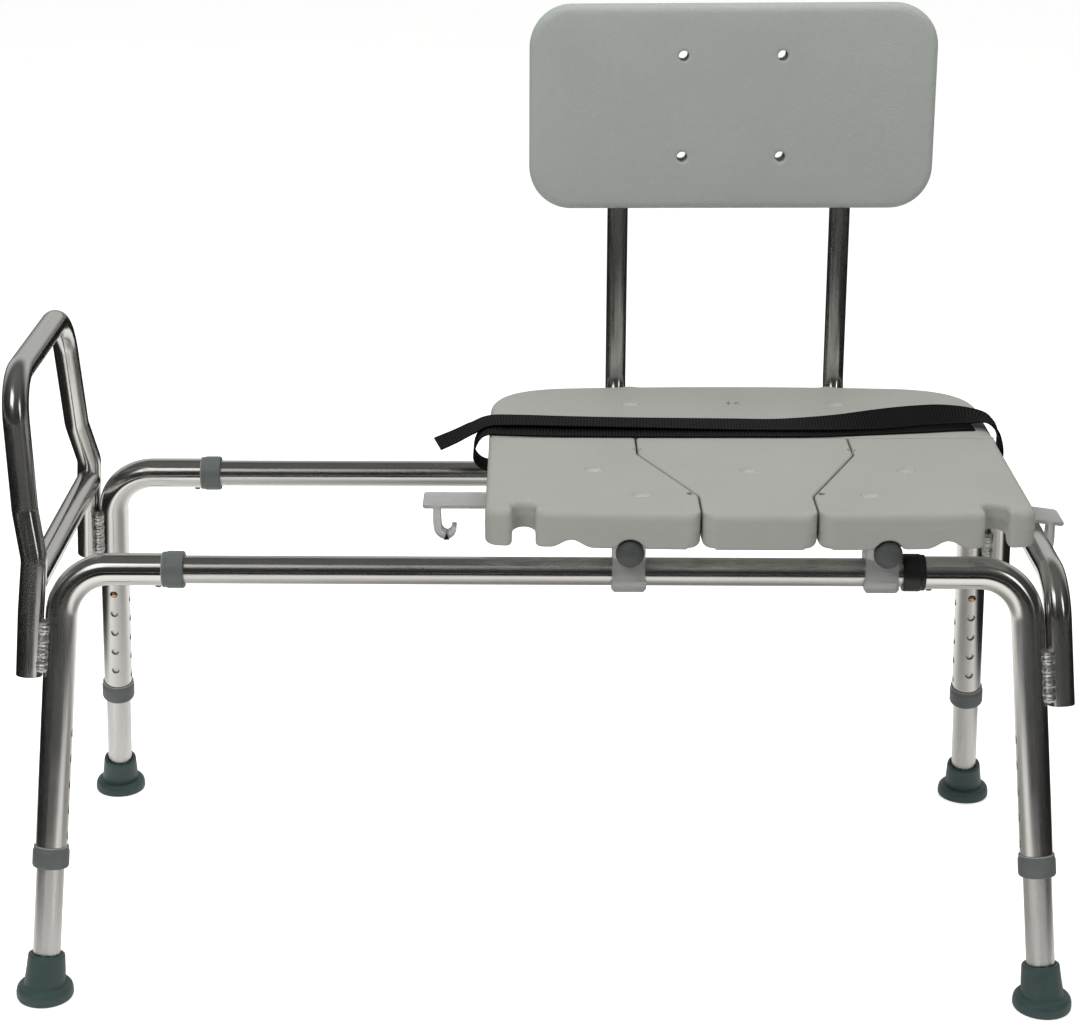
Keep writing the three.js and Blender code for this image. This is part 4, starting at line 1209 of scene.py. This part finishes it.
def add_backrest():
    """A crowned moulding with four countersunk through holes."""
    low, high = box_mm("backrest")
    half = (high[X] - low[X]) / 2
    deep = 36.0
    lean = math.atan(LEAN)
    tall = (high[Z] - low[Z] - deep * math.sin(lean)) / math.cos(lean)
    half_deep_y, half_deep_z = deep / 2 * math.cos(lean), deep / 2 * math.sin(lean)
    base = np.array([(low[X] + high[X]) / 2, low[Y] + half_deep_y, low[Z] + half_deep_z])
    corner = 45.0
    outline = resample(fillet([
        (-half, 0, corner), (half, 0, corner), (half, tall, corner), (-half, tall, corner),
    ], 14), 5.0)
    holes = [((x, y), 5.5) for x in (-52.4, 52.4) for y in (56.5, 163.5)]
    crown = 1.2  # how far the faces swell towards their middle

    def bulge(points):
        edge = np.minimum.reduce([
            half - np.abs(points[:, 0]), points[:, 1], tall - points[:, 1]])
        swell = 1 - np.clip(1 - edge / 70, 0, 1) ** 2
        dent = np.zeros(len(points))
        for (cx, cy), radius in holes:
            r = np.hypot(points[:, 0] - cx, points[:, 1] - cy)
            dent += 1.6 * np.clip(1 - (r - radius) / 2.6, 0, 1) ** 2
        return -crown + crown * swell - dent

    extra = thin_out(np.vstack(
        [rosette(centre, (6.2, 7.2, 8.6, 11), 32)[:-1] for centre, _ in holes]
        + [lattice((-half, 0), (half, tall), 8.0)]), 0.8)

    def rounding(points):
        return np.full(len(points), 9.0)

    matrix = axis_matrix(base, (0, -math.cos(lean), math.sin(lean)), (1, 0, 0))
    made = panel("backrest_moulding", outline, lambda p: deep / 2 + bulge(p),
                 lambda p: -deep / 2 - bulge(p), rounding, rounding, extra, extra, BACK_PLASTIC,
                 holes=holes, ridge=RIDGE, matrix=matrix)
    finish_piece(made, "carriage", "backrest_plastic", "backrest")


add_backrest()

# ---- seat tubes, caps and slide blocks -------------------------------------------------

POST_FRONT = box_mm("seat_tube_left")[0][Y]
POST_TOP = box_mm("seat_tube_left")[1][Z] - 0.5
POST_BEND_R = 45.0
RISER_Y = box_mm("seat_tube_left")[1][Y] - POST_OD / 2 - LEAN * (POST_TOP - POST_Z)
CAP_PROFILE = [
    # (radius, distance from the cap's tip)
    (0.0, 0.0), (3.5, 0.25), (7.0, 1.2), (9.8, 2.8), (12.0, 5.2), (13.2, 8.2), (13.5, 10.6), (13.4, 12.0),
    (12.7, 13.0), (11.4, 13.0), (11.4, 9.0), (0.0, 9.0),
]


SLIDE_PLAY = 0.45  # between a slide block's bore and the rail


def slide_block(name, x, y, node):
    """A nylon saddle with a flared, chamfered foot, bored for the rail and the seat tube."""
    low, high = box_mm(node)
    x0, x1, z0, z1 = low[X], high[X], low[Z], high[Z]
    # (in from the side, height, rounding), from the top of one side to its foot
    flank = [(1.0, z1, 1.5), (1.0, z0 + 13, 5), (0.0, z0 + 7.5, 3), (0.0, z0 + 3.4, 1.0), (2.6, z0, 1.0)]
    profile = fillet([(x0 + inset, z, r) for inset, z, r in flank]
                     + [(x1 - inset, z, r) for inset, z, r in reversed(flank)], 4)
    rings = []
    depth = high[Y] - low[Y]
    centre = np.array([(x0 + x1) / 2, (z0 + z1) / 2])
    for share, inset in ((0, 1.1), (0.01, 0.45), (0.035, 0.0), (0.965, 0.0), (0.99, 0.45), (1, 1.1)):
        moved = profile - (profile - centre) / np.linalg.norm(profile - centre, axis=1)[:, None] * inset
        at_y = np.full(len(moved), low[Y] + depth * share)
        rings.append(np.column_stack([moved[:, 0], at_y, moved[:, 1]]))
    points, faces = loft(rings, closed=False)
    made = outward(make_object(name, points, faces, NYLON))
    boolean(made, rods([
        ((x - 40, y, RAIL_Z), (x + 40, y, RAIL_Z), RAIL_OD / 2 + SLIDE_PLAY),
        ((x, y - 60, POST_Z), (x, y + 60, POST_Z), POST_OD / 2 + GAP),
    ], 64))
    shade(made, 40)
    finish_piece(made, "carriage", "white_plastic", node)


for hand, side in (("left", -1), ("right", 1)):
    post_x = SEAT_X + side * POST_X
    post_line = bent_line([
        (post_x, POST_FRONT, POST_Z), (post_x, RISER_Y, POST_Z),
        (post_x, RISER_Y + LEAN * (POST_TOP - POST_Z), POST_TOP),
    ], [POST_BEND_R], spacing=16.0)
    post = tube(f"seat_back_tube_{hand}", post_line, POST_OD, WALL, POLISHED, 48)
    follow(post, post_line)
    finish_piece(post, "carriage", "tube_aluminium", f"seat_tube_{hand}")
    cap = outward(turned(f"seat_tube_plug_{hand}", CAP_PROFILE, CAP_RUBBER,
                         axis_matrix((post_x, POST_FRONT - 9, POST_Z), (0, 1, 0)), 56))
    finish_piece(cap, "carriage", "foot_rubber", f"tube_cap_{hand}")
    for row, sy in (("front", -1), ("rear", 1)):
        slide_block(f"rail_saddle_{row}_{hand}", post_x, sy * RAIL_Y, f"slide_block_{row}_{hand}")

# ---- belt ------------------------------------------------------------------------------

RIB_HIGH = 0.38  # of the webbing's cross ribs
BELT_THICK = 1.5
BELT_WIDE = extent("belt_over_half", Y)
BELT_LOWER_END = box_mm("belt_under_half")[1][X] - SEAT_X


def spline(points, spacing):
    """Points at an even spacing along a smooth curve through the given ones."""
    points = np.asarray(points, float)
    padded = np.vstack([2 * points[0] - points[1], points, 2 * points[-1] - points[-2]])
    fine = []
    for i in range(len(points) - 1):
        p0, p1, p2, p3 = padded[i:i + 4]
        t = np.linspace(0, 1, 60, endpoint=False)[:, None]
        fine.append(0.5 * (2 * p1 + (p2 - p0) * t + (2 * p0 - 5 * p1 + 4 * p2 - p3) * t**2
                           + (3 * p1 - p0 - 3 * p2 + p3) * t**3))
    fine = np.vstack(fine + [points[-1:]])
    run = np.concatenate([[0], np.cumsum(np.linalg.norm(np.diff(fine[:, :3], axis=0), axis=1))])
    wanted = np.linspace(0, run[-1], max(2, round(run[-1] / spacing)))
    return np.column_stack([np.interp(wanted, run, fine[:, k]) for k in range(fine.shape[1])]), wanted


def ribbon(name, stations, width, node):
    """Ribbed webbing through stations of (x, y, z, roll in degrees), its width along Y."""
    path, run = spline(stations, RIB_PITCH / 4)
    centres, roll = path[:, :3], np.radians(path[:, 3])
    steps = np.gradient(centres, axis=0)
    steps /= np.linalg.norm(steps, axis=1)[:, None]
    across = np.array([0.0, 1.0, 0.0]) - steps * steps[:, 1][:, None]
    across /= np.linalg.norm(across, axis=1)[:, None]
    up = np.cross(steps, across)
    across, up = (across * np.cos(roll)[:, None] + up * np.sin(roll)[:, None],
                  up * np.cos(roll)[:, None] - across * np.sin(roll)[:, None])
    half, thick = width / 2, BELT_THICK / 2
    edge = 1.6  # the selvedge, which has no ribs
    # (across, up, share of the rib), over the upper face and round one edge; then the same negated
    face = [(t * (half - edge), thick, 1.0) for t in np.linspace(-1, 1, 9)]
    face += [(half - 0.5, thick, 0.0), (half, thick * 0.4, 0.0), (half, -thick * 0.4, 0.0),
             (half - 0.5, -thick, 0.0)]
    section = np.vstack([face, -np.array(face)])
    rib = RIB_HIGH * (0.5 + 0.5 * np.cos(2 * np.pi * run / RIB_PITCH)) - RIB_HIGH
    rings, space = [], []
    for i, centre in enumerate(centres):
        height = section[:, 1] + section[:, 2] * rib[i]
        rings.append(centre + np.outer(section[:, 0], across[i]) + np.outer(height, up[i]))
        space += [(run[i] * MM, y * MM, z * MM) for y, z in zip(section[:, 0], height)]
    points, faces = loft(rings, closed=False)
    made = outward(make_object(name, points, faces, WEBBING))
    attribute = made.data.attributes.new("belt_space", "FLOAT_VECTOR", "POINT")
    attribute.data.foreach_set("vector", np.array(space, np.float32).ravel())
    shade(made, 50)
    return finish_piece(made, "carriage", "webbing", node)


LEFT, RIGHT = SEAT_X - SEAT_HALF, SEAT_X + SEAT_HALF
LOWER_Z = SEAT_TOP + 1.1     # the lower half's middle, on the seat
UPPER_Z = SEAT_TOP + 3.0     # the upper half's, where it lies on the lower half
UNDER_Z = SEAT_BOTTOM - 1.4  # both, under the seat
ribbon("belt_lower", [
    (LEFT + 30, 80, UNDER_Z, 0), (LEFT + 10, 80, UNDER_Z, 0), (LEFT - 6, 80, UNDER_Z + 2, 0),
    (LEFT - 15, 80, UNDER_Z + 11, 0), (LEFT - 14.5, 80, LOWER_Z - 15, 0), (LEFT - 8, 81, LOWER_Z - 3.5, 0),
    (LEFT + 2, 81, LOWER_Z + 0.5, 0), (LEFT + 20, 80, LOWER_Z, 0), (LEFT + 70, 77, LOWER_Z, 0),
    (LEFT + 150, 75, LOWER_Z, 0), (SEAT_X, 76, LOWER_Z, 0), (SEAT_X + 80, 78, LOWER_Z, 0),
    (SEAT_X + 141, 86, LOWER_Z, 0), (SEAT_X + 188, 93, LOWER_Z, 0), (SEAT_X + 215, 98, LOWER_Z, 0),
    (SEAT_X + BELT_LOWER_END, 100, LOWER_Z, 0),
], BELT_WIDE, "belt_under_half")
ribbon("belt_upper", [
    (RIGHT - 30, 92, UNDER_Z, 0), (RIGHT - 8, 90, UNDER_Z - 0.5, 0), (RIGHT + 4, 86, UNDER_Z + 5, 0),
    (RIGHT + 9, 83, SEAT_TOP - 26, 0), (RIGHT + 9.5, 86, SEAT_TOP - 14, 0),
    (RIGHT + 6, 93, SEAT_TOP - 2, 0),
    (RIGHT - 3, 101, UPPER_Z + 2.8, -3), (RIGHT - 18, 107, UPPER_Z + 5.6, -9),
    (RIGHT - 45, 108, UPPER_Z + 6.6, -15), (RIGHT - 75, 104, UPPER_Z + 6.2, -16),
    (SEAT_X + 142, 94, UPPER_Z + 5.4, -15), (SEAT_X + 95, 92, UPPER_Z + 2.4, -6),
    (SEAT_X + 40, 93, UPPER_Z, 0), (SEAT_X - 10, 94, UPPER_Z, 0), (SEAT_X - 108, 97, UPPER_Z + 0.6, 2),
    (SEAT_X - 170, 100, UPPER_Z + 0.8, 2), (LEFT + 30, 104, UPPER_Z + 0.8, 1),
    (LEFT, 103, UPPER_Z + 0.4, 0), (LEFT - 18, 99, UPPER_Z - 6.0, -3), (LEFT - 36, 95, UPPER_Z - 14, -5),
    (LEFT - 54, 91, UPPER_Z - 21, -6),
], BELT_WIDE, "belt_over_half")

# ---- end latches -----------------------------------------------------------------------

LATCH_Y = middle("latch_lever_right", Y)
LATCH_WIDE = extent("latch_lever_right", Y)
PIVOT_X = middle("latch_pin_right", X) - SEAT_X
# for each hand: how far the plate reaches past its pivot and drops, then the hook's distance
# inside the tip, its depth, its width and how far it curls up
LATCH_SHAPES = {"left": (73, 0, 11, 35.5, 23, 14.5), "right": (65, 8.5, 9, 38.5, 20.5, 5)}
PIN_R = 2.5
PIN_PLAY = 0.35


def extruded(name, outline, low_y, high_y, side, material, edge=0.7, corner_from=None):
    """An outline in the XZ plane, seen from the front, drawn out along Y with soft edges. Past
    corner_from in X, the outer corners are rounded in plan as well."""
    outline = np.array(outline, float)
    corner = 4.0
    depth = [(low_y, edge), (low_y + 0.3 * edge, 0.3 * edge), (low_y + edge, 0.0)]
    if corner_from is not None:
        for angle in (0.8, 1.05, 1.3, math.pi / 2):
            depth.append((low_y + corner * (1 - math.cos(angle)) + edge * 0.2, 0.0))
    depth += [(low_y + high_y - y, inset) for y, inset in reversed(depth)]
    if side < 0:
        outline = (outline * np.array([-1, 1]))[::-1]
    inward = inward_normals(outline)
    rings = []
    for y, inset in depth:
        moved = outline + inward * inset
        if corner_from is not None:
            into = min(y - low_y, high_y - y, corner)
            pull = corner - math.sqrt(corner**2 - (corner - into) ** 2)
            moved[:, 0] -= side * np.where(np.abs(outline[:, 0]) > corner_from, pull, 0)
        rings.append(np.column_stack([moved[:, 0] + SEAT_X, np.full(len(moved), y), moved[:, 1]]))
    points, faces = loft(rings, closed=False)
    return outward(make_object(name, points, faces, material))


def latch_lever(hand, side):
    """A finger plate with a rolled eye at its pin, and a hook under it on the front side."""
    reach, drop, neck, deep, wide, curl = LATCH_SHAPES[hand]
    pivot = np.array([PIVOT_X, middle(f"latch_pin_{hand}", Z)])
    along = np.array([reach, -drop]) / math.hypot(reach, drop)
    normal = np.array([-along[1], along[0]])
    thick, eye, tip = 2.0, 5.2, math.hypot(reach, drop)

    def at(distance, height):
        return tuple(pivot + along * distance + normal * height)

    root = math.sqrt(eye**2 - thick**2)
    swing = np.linspace(math.atan2(thick, root), 2 * math.pi - math.atan2(thick, root), 30)
    barrel = [(*at(eye * math.cos(a), eye * math.sin(a)), 0) for a in swing]
    plate = fillet([(*at(root + 2, -thick), 0), (*at(tip - 0.5, -thick), 1.6), (*at(tip, thick), 1.6),
                    (*at(root + 2, thick), 0)] + barrel, 3)
    low, high = LATCH_Y - LATCH_WIDE / 2, LATCH_Y + LATCH_WIDE / 2
    made = extruded(f"latch_hook_{hand}", plate, low, high, side, NYLON, 1.2, corner_from=at(tip - 8, 0)[0])
    end_x, end_z = PIVOT_X + reach, pivot[1] - drop

    def hooked(inwards, down, radius):
        return (end_x - inwards, end_z - down, radius)

    hook = fillet([
        hooked(neck, -0.8, 0), hooked(neck + 7, -0.8, 0), hooked(neck + 7.5, 0.4 * deep, 8),
        hooked(neck + 8.5, deep - 7.5, 7), hooked(neck + wide - 5.5, deep - 7, 6),
        hooked(neck + wide - 4.5, deep - curl - 0.5, 1.6), hooked(neck + wide, deep - curl, 1.6),
        hooked(neck + wide, deep - 0.5, 12 if curl > 10 else 2), hooked(neck + 1, deep, 14),
        hooked(neck - 0.5, 0.4 * deep, 10),
    ], 7)
    boolean(made, extruded("tool", hook, low + 1.6, low + 16, side, NYLON, 1.0), "UNION")
    pin_x = SEAT_X + side * PIVOT_X
    bore = ((pin_x, low - 20, pivot[1]), (pin_x, high + 20, pivot[1]), PIN_R + PIN_PLAY)
    boolean(made, rods([bore], 32))
    shade(made, 40)
    finish_piece(made, f"latch_{hand}", "white_plastic", f"latch_lever_{hand}")


def latch_bracket(hand, side):
    """A saddle under the seat with two ears that carry the latch's pin."""
    low, high = box_mm(f"latch_bracket_{hand}")
    x, top = abs((low[X] + high[X]) / 2 - SEAT_X), high[Z]
    saddle = fillet([
        (x - 8, top - 4, 0.8), (x + 8, top - 4, 0.8), (x + 8, top, 1.2), (x - 8, top, 1.2),
    ], 3)
    made = extruded(f"latch_mount_{hand}", saddle, low[Y], high[Y], side, NYLON, 0.9)
    ear = fillet([(x - 7, top - 2, 0.5), (x - 7, low[Z], 6), (x + 7, low[Z], 6), (x + 7, top - 2, 0.5)], 7)
    ear_thick, ear_in = 4.2, 0.02  # each ear starts just inside the saddle's end
    for near in (low[Y], high[Y] - ear_thick):
        lug = extruded("tool", ear, near + ear_in, near + ear_thick - ear_in, side, NYLON, 0.5)
        boolean(made, lug, "UNION")
    pin_x, pin_z = SEAT_X + side * x, middle(f"latch_pin_{hand}", Z)
    bore = ((pin_x, LATCH_Y - 60, pin_z), (pin_x, LATCH_Y + 60, pin_z), PIN_R + PIN_PLAY)
    boolean(made, rods([bore], 32))
    shade(made, 40)
    finish_piece(made, "carriage", "white_plastic", f"latch_bracket_{hand}")


def latch_pin(hand, side):
    """A plain rivet with a domed head at each end."""
    low, high = box_mm(f"latch_pin_{hand}")
    long = high[Y] - low[Y]
    head = 1.3
    half = [(0.0, 0.0), (1.8, 0.15), (3.0, 0.6), (3.5, head), (PIN_R, head + 0.05)]
    profile = half + [(r, long - h) for r, h in reversed(half)]
    matrix = axis_matrix((SEAT_X + side * PIVOT_X, low[Y], (low[Z] + high[Z]) / 2), (0, 1, 0))
    made = outward(turned(f"latch_rivet_{hand}", profile, STEEL, matrix, 28))
    finish_piece(made, "carriage", "pin_steel", f"latch_pin_{hand}")


for hand, side in (("left", -1), ("right", 1)):
    latch_lever(hand, side)
    latch_bracket(hand, side)
    latch_pin(hand, side)

# ---- studio: floor, light and camera ---------------------------------------------------


def flat_card(name, low, high, height, material):
    """A level rectangle of the studio, between two corners in metres."""
    mesh = bpy.data.meshes.new(name)
    corners = [(low[0], low[1]), (high[0], low[1]), (high[0], high[1]), (low[0], high[1])]
    mesh.from_pydata([(x, y, height) for x, y in corners], [], [(0, 1, 2, 3)])
    mesh.materials.append(material)
    card = bpy.data.objects.new(name, mesh)
    bpy.context.scene.collection.objects.link(card)
    return card


def add_floor():
    """A white floor; the camera sees it glow a little, so it looks like a bright sweep."""
    size = 30.0
    nodes = Nodes("studio_floor", Roughness=0.6, Specular_IOR_Level=0.2)
    glow = nodes.math("MULTIPLY", nodes.add("LightPath").outputs["Is Camera Ray"], 0.6)
    nodes.link(glow, "Emission Strength")
    nodes.shader.inputs["Emission Color"].default_value = (1.0, 1.0, 1.0, 1.0)
    paper = nodes.noise(nodes.position(), 3.0, 3.0)
    nodes.link(nodes.ramp(paper, (0.3, (0.90, 0.90, 0.90)), (0.7, (0.92, 0.92, 0.92))), "Base Color")
    flat_card("studio_floor", (-size, -size), (size, size), 0.0, nodes.material)


def add_world():
    """A pale backdrop and soft light all round, while polished tubes mirror a dim room."""
    world = bpy.data.worlds.new("studio")
    world.use_nodes = True
    tree = world.node_tree
    background = tree.nodes["Background"]

    def node(kind, **inputs):
        made = tree.nodes.new("ShaderNode" + kind)
        for key, value in inputs.items():
            socket = made.inputs[int(key[1:])]
            if isinstance(value, bpy.types.NodeSocket):
                tree.links.new(value, socket)
            else:
                socket.default_value = value
        return made

    def times(a, b):
        product = node("Math", i0=a, i1=b)
        product.operation = "MULTIPLY"
        return product.outputs[0]

    parts = node("SeparateXYZ", i0=node("TexCoord").outputs["Generated"]).outputs
    room = node("ValToRGB", i0=parts["Z"])
    stops = [(0.0, 0.02), (0.25, 0.025), (0.5, 0.05), (1.0, 0.13)]  # (height, brightness)
    elements = room.color_ramp.elements
    while len(elements) < len(stops):
        elements.new(0.5)
    for element, (at, value) in zip(elements, stops):
        element.position = at
        element.color = (value, value, value * 0.95, 1.0)
    behind = node("MapRange", i0=parts["Y"], i1=0.25, i2=0.75).outputs[0]
    above = node("MapRange", i0=parts["Z"], i1=0.02, i2=0.14).outputs[0]
    below_top = node("MapRange", i0=parts["Z"], i1=0.75, i2=0.5).outputs[0]
    wall = times(times(behind, above), below_top)
    backdrop = node("MixRGB", i0=wall, i1=room.outputs["Color"], i2=(0.55, 0.55, 0.54, 1.0)).outputs[0]
    rays = node("LightPath").outputs
    lit = node("MixRGB", i0=rays["Is Glossy Ray"], i1=(0.46, 0.46, 0.455, 1.0), i2=backdrop).outputs[0]
    seen = node("MixRGB", i0=rays["Is Camera Ray"], i1=lit, i2=(0.94, 0.94, 0.94, 1.0)).outputs[0]
    tree.links.new(seen, background.inputs["Color"])
    bpy.context.scene.world = world


def add_mirror_cards():
    """What polished tubes mirror of the ground, a painted reflection on cards seen in no other way: a sheet
    of grey-white paper with a painted shadow where the bench stands over it, fading towards its edges, with
    a faint painted glow, and dim studio floor around it."""
    near_y, far_y, left, right, reach, lift = -1.28, 1.1, -0.86, 0.80, 9.0, 0.004
    dim = Nodes("dim_ground", Roughness=0.9, Specular_IOR_Level=0.0)
    dim.link(dim.ramp(dim.noise(dim.position(), 2.0, 2.0), (0.3, (0.012, 0.012, 0.011)),
                      (0.7, (0.02, 0.019, 0.017))), "Base Color")
    paper = Nodes("grey_paper_with_painted_shadow", Roughness=0.9, Specular_IOR_Level=0.0)
    bench_shadow_place = paper.add("Mapping", {
        "Vector": paper.add("TexCoord").outputs["Object"], "Location": (-0.05, 0.15, 0.0),
        "Scale": (1.1, 1.6, 1.1),
    }).outputs[0]
    # painted shadow of the bench: the paper darkens towards the spot under the bench
    under = paper.add("TexGradient", {"Vector": bench_shadow_place}, gradient_type="SPHERICAL").outputs["Fac"]
    sheet = paper.ramp(under, (0.0, (0.98, 0.97, 0.96)), (0.25, (0.90, 0.89, 0.87)),
                       (0.75, (0.42, 0.405, 0.39)))
    where = paper.add("SeparateXYZ", {0: paper.position()}).outputs
    side_fade, near_fade = 0.16, 0.3
    from_left = paper.spread(where["X"], 0.0, 1.0, left, left + side_fade)
    from_right = paper.spread(where["X"], 1.0, 0.0, right - side_fade, right)
    from_near = paper.spread(where["Y"], 0.15, 1.0, near_y, near_y + near_fade)
    fading = paper.math("MULTIPLY", paper.math("MULTIPLY", from_left, from_right), from_near)
    shaded = paper.add("MixRGB", {0: 1.0, 1: sheet, 2: fading}, blend_type="MULTIPLY").outputs[0]
    paper.link(shaded, "Base Color")
    paper.link(shaded, "Emission Color")
    # a faint painted glow of the paper
    paper.shader.inputs["Emission Strength"].default_value = 0.1
    cards = [
        (-reach, -reach, reach, near_y, dim), (-reach, far_y, reach, reach, dim),
        (-reach, near_y, left, far_y, dim), (right, near_y, reach, far_y, dim),
        (left, near_y, right, far_y, paper),
    ]
    for number, (x0, y0, x1, y1, nodes) in enumerate(cards):
        card = flat_card(f"mirror_card_{number}", (x0, y0), (x1, y1), lift, nodes.material)
        card.visible_camera = card.visible_diffuse = card.visible_shadow = False
        card.visible_transmission = card.visible_volume_scatter = False


def add_softbox(name, where, target, width, height, power, mirrored_in_metal=True):
    """A rectangular light in watts that faces a target; places and sizes are metres."""
    light = bpy.data.lights.new(name, "AREA")
    light.shape = "RECTANGLE"
    light.size, light.size_y = width, height
    light.energy = power
    light.color = (1.0, 0.995, 0.985)
    made = bpy.data.objects.new(name, light)
    made.location = where
    made.rotation_euler = (Vector(target) - Vector(where)).to_track_quat("-Z", "Y").to_euler()
    made.visible_glossy = mirrored_in_metal
    bpy.context.scene.collection.objects.link(made)


def add_camera():
    """In front of the bench and a little above it, looking slightly down."""
    place_mm = (-8.1, -2322.8, 1238.0)
    pitch, yaw, roll = 0.3408, -0.0423, -0.0107  # radians
    ahead = Vector((math.sin(yaw) * math.cos(pitch), math.cos(yaw) * math.cos(pitch), -math.sin(pitch)))
    level = Vector((math.cos(yaw), -math.sin(yaw), 0))
    upright = level.cross(ahead)
    right = level * math.cos(roll) + upright * math.sin(roll)
    up = upright * math.cos(roll) - level * math.sin(roll)
    data = bpy.data.cameras.new("camera")
    data.sensor_width = 36.0
    data.lens = 81.65667
    data.shift_x, data.shift_y = 0.0972, 0.0064
    data.clip_end = 100.0
    camera = bpy.data.objects.new("camera", data)
    rotation = Matrix((right, up, -ahead)).transposed().to_4x4()
    camera.matrix_world = Matrix.Translation(Vector(place(place_mm))) @ rotation
    bpy.context.scene.collection.objects.link(camera)
    bpy.context.scene.camera = camera


add_floor()
add_world()
add_mirror_cards()
BENCH_HEART = (0, 0, 0.4)
add_softbox("key_left", (-1.3, -1.9, 2.5), BENCH_HEART, 1.3, 1.3, 22, mirrored_in_metal=False)
add_softbox("key_left_glint", (-1.32, -1.93, 2.54), BENCH_HEART, 1.3, 1.3, 8)
add_softbox("fill_right", (2.4, -2.3, 2.1), BENCH_HEART, 0.6, 1.4, 5)
add_softbox("overhead", (0.3, 0.4, 2.8), (0.1, 0.1, 0.4), 2.4, 1.8, 34, mirrored_in_metal=False)
add_camera()
bpy.context.scene.view_settings.view_transform = "Standard"
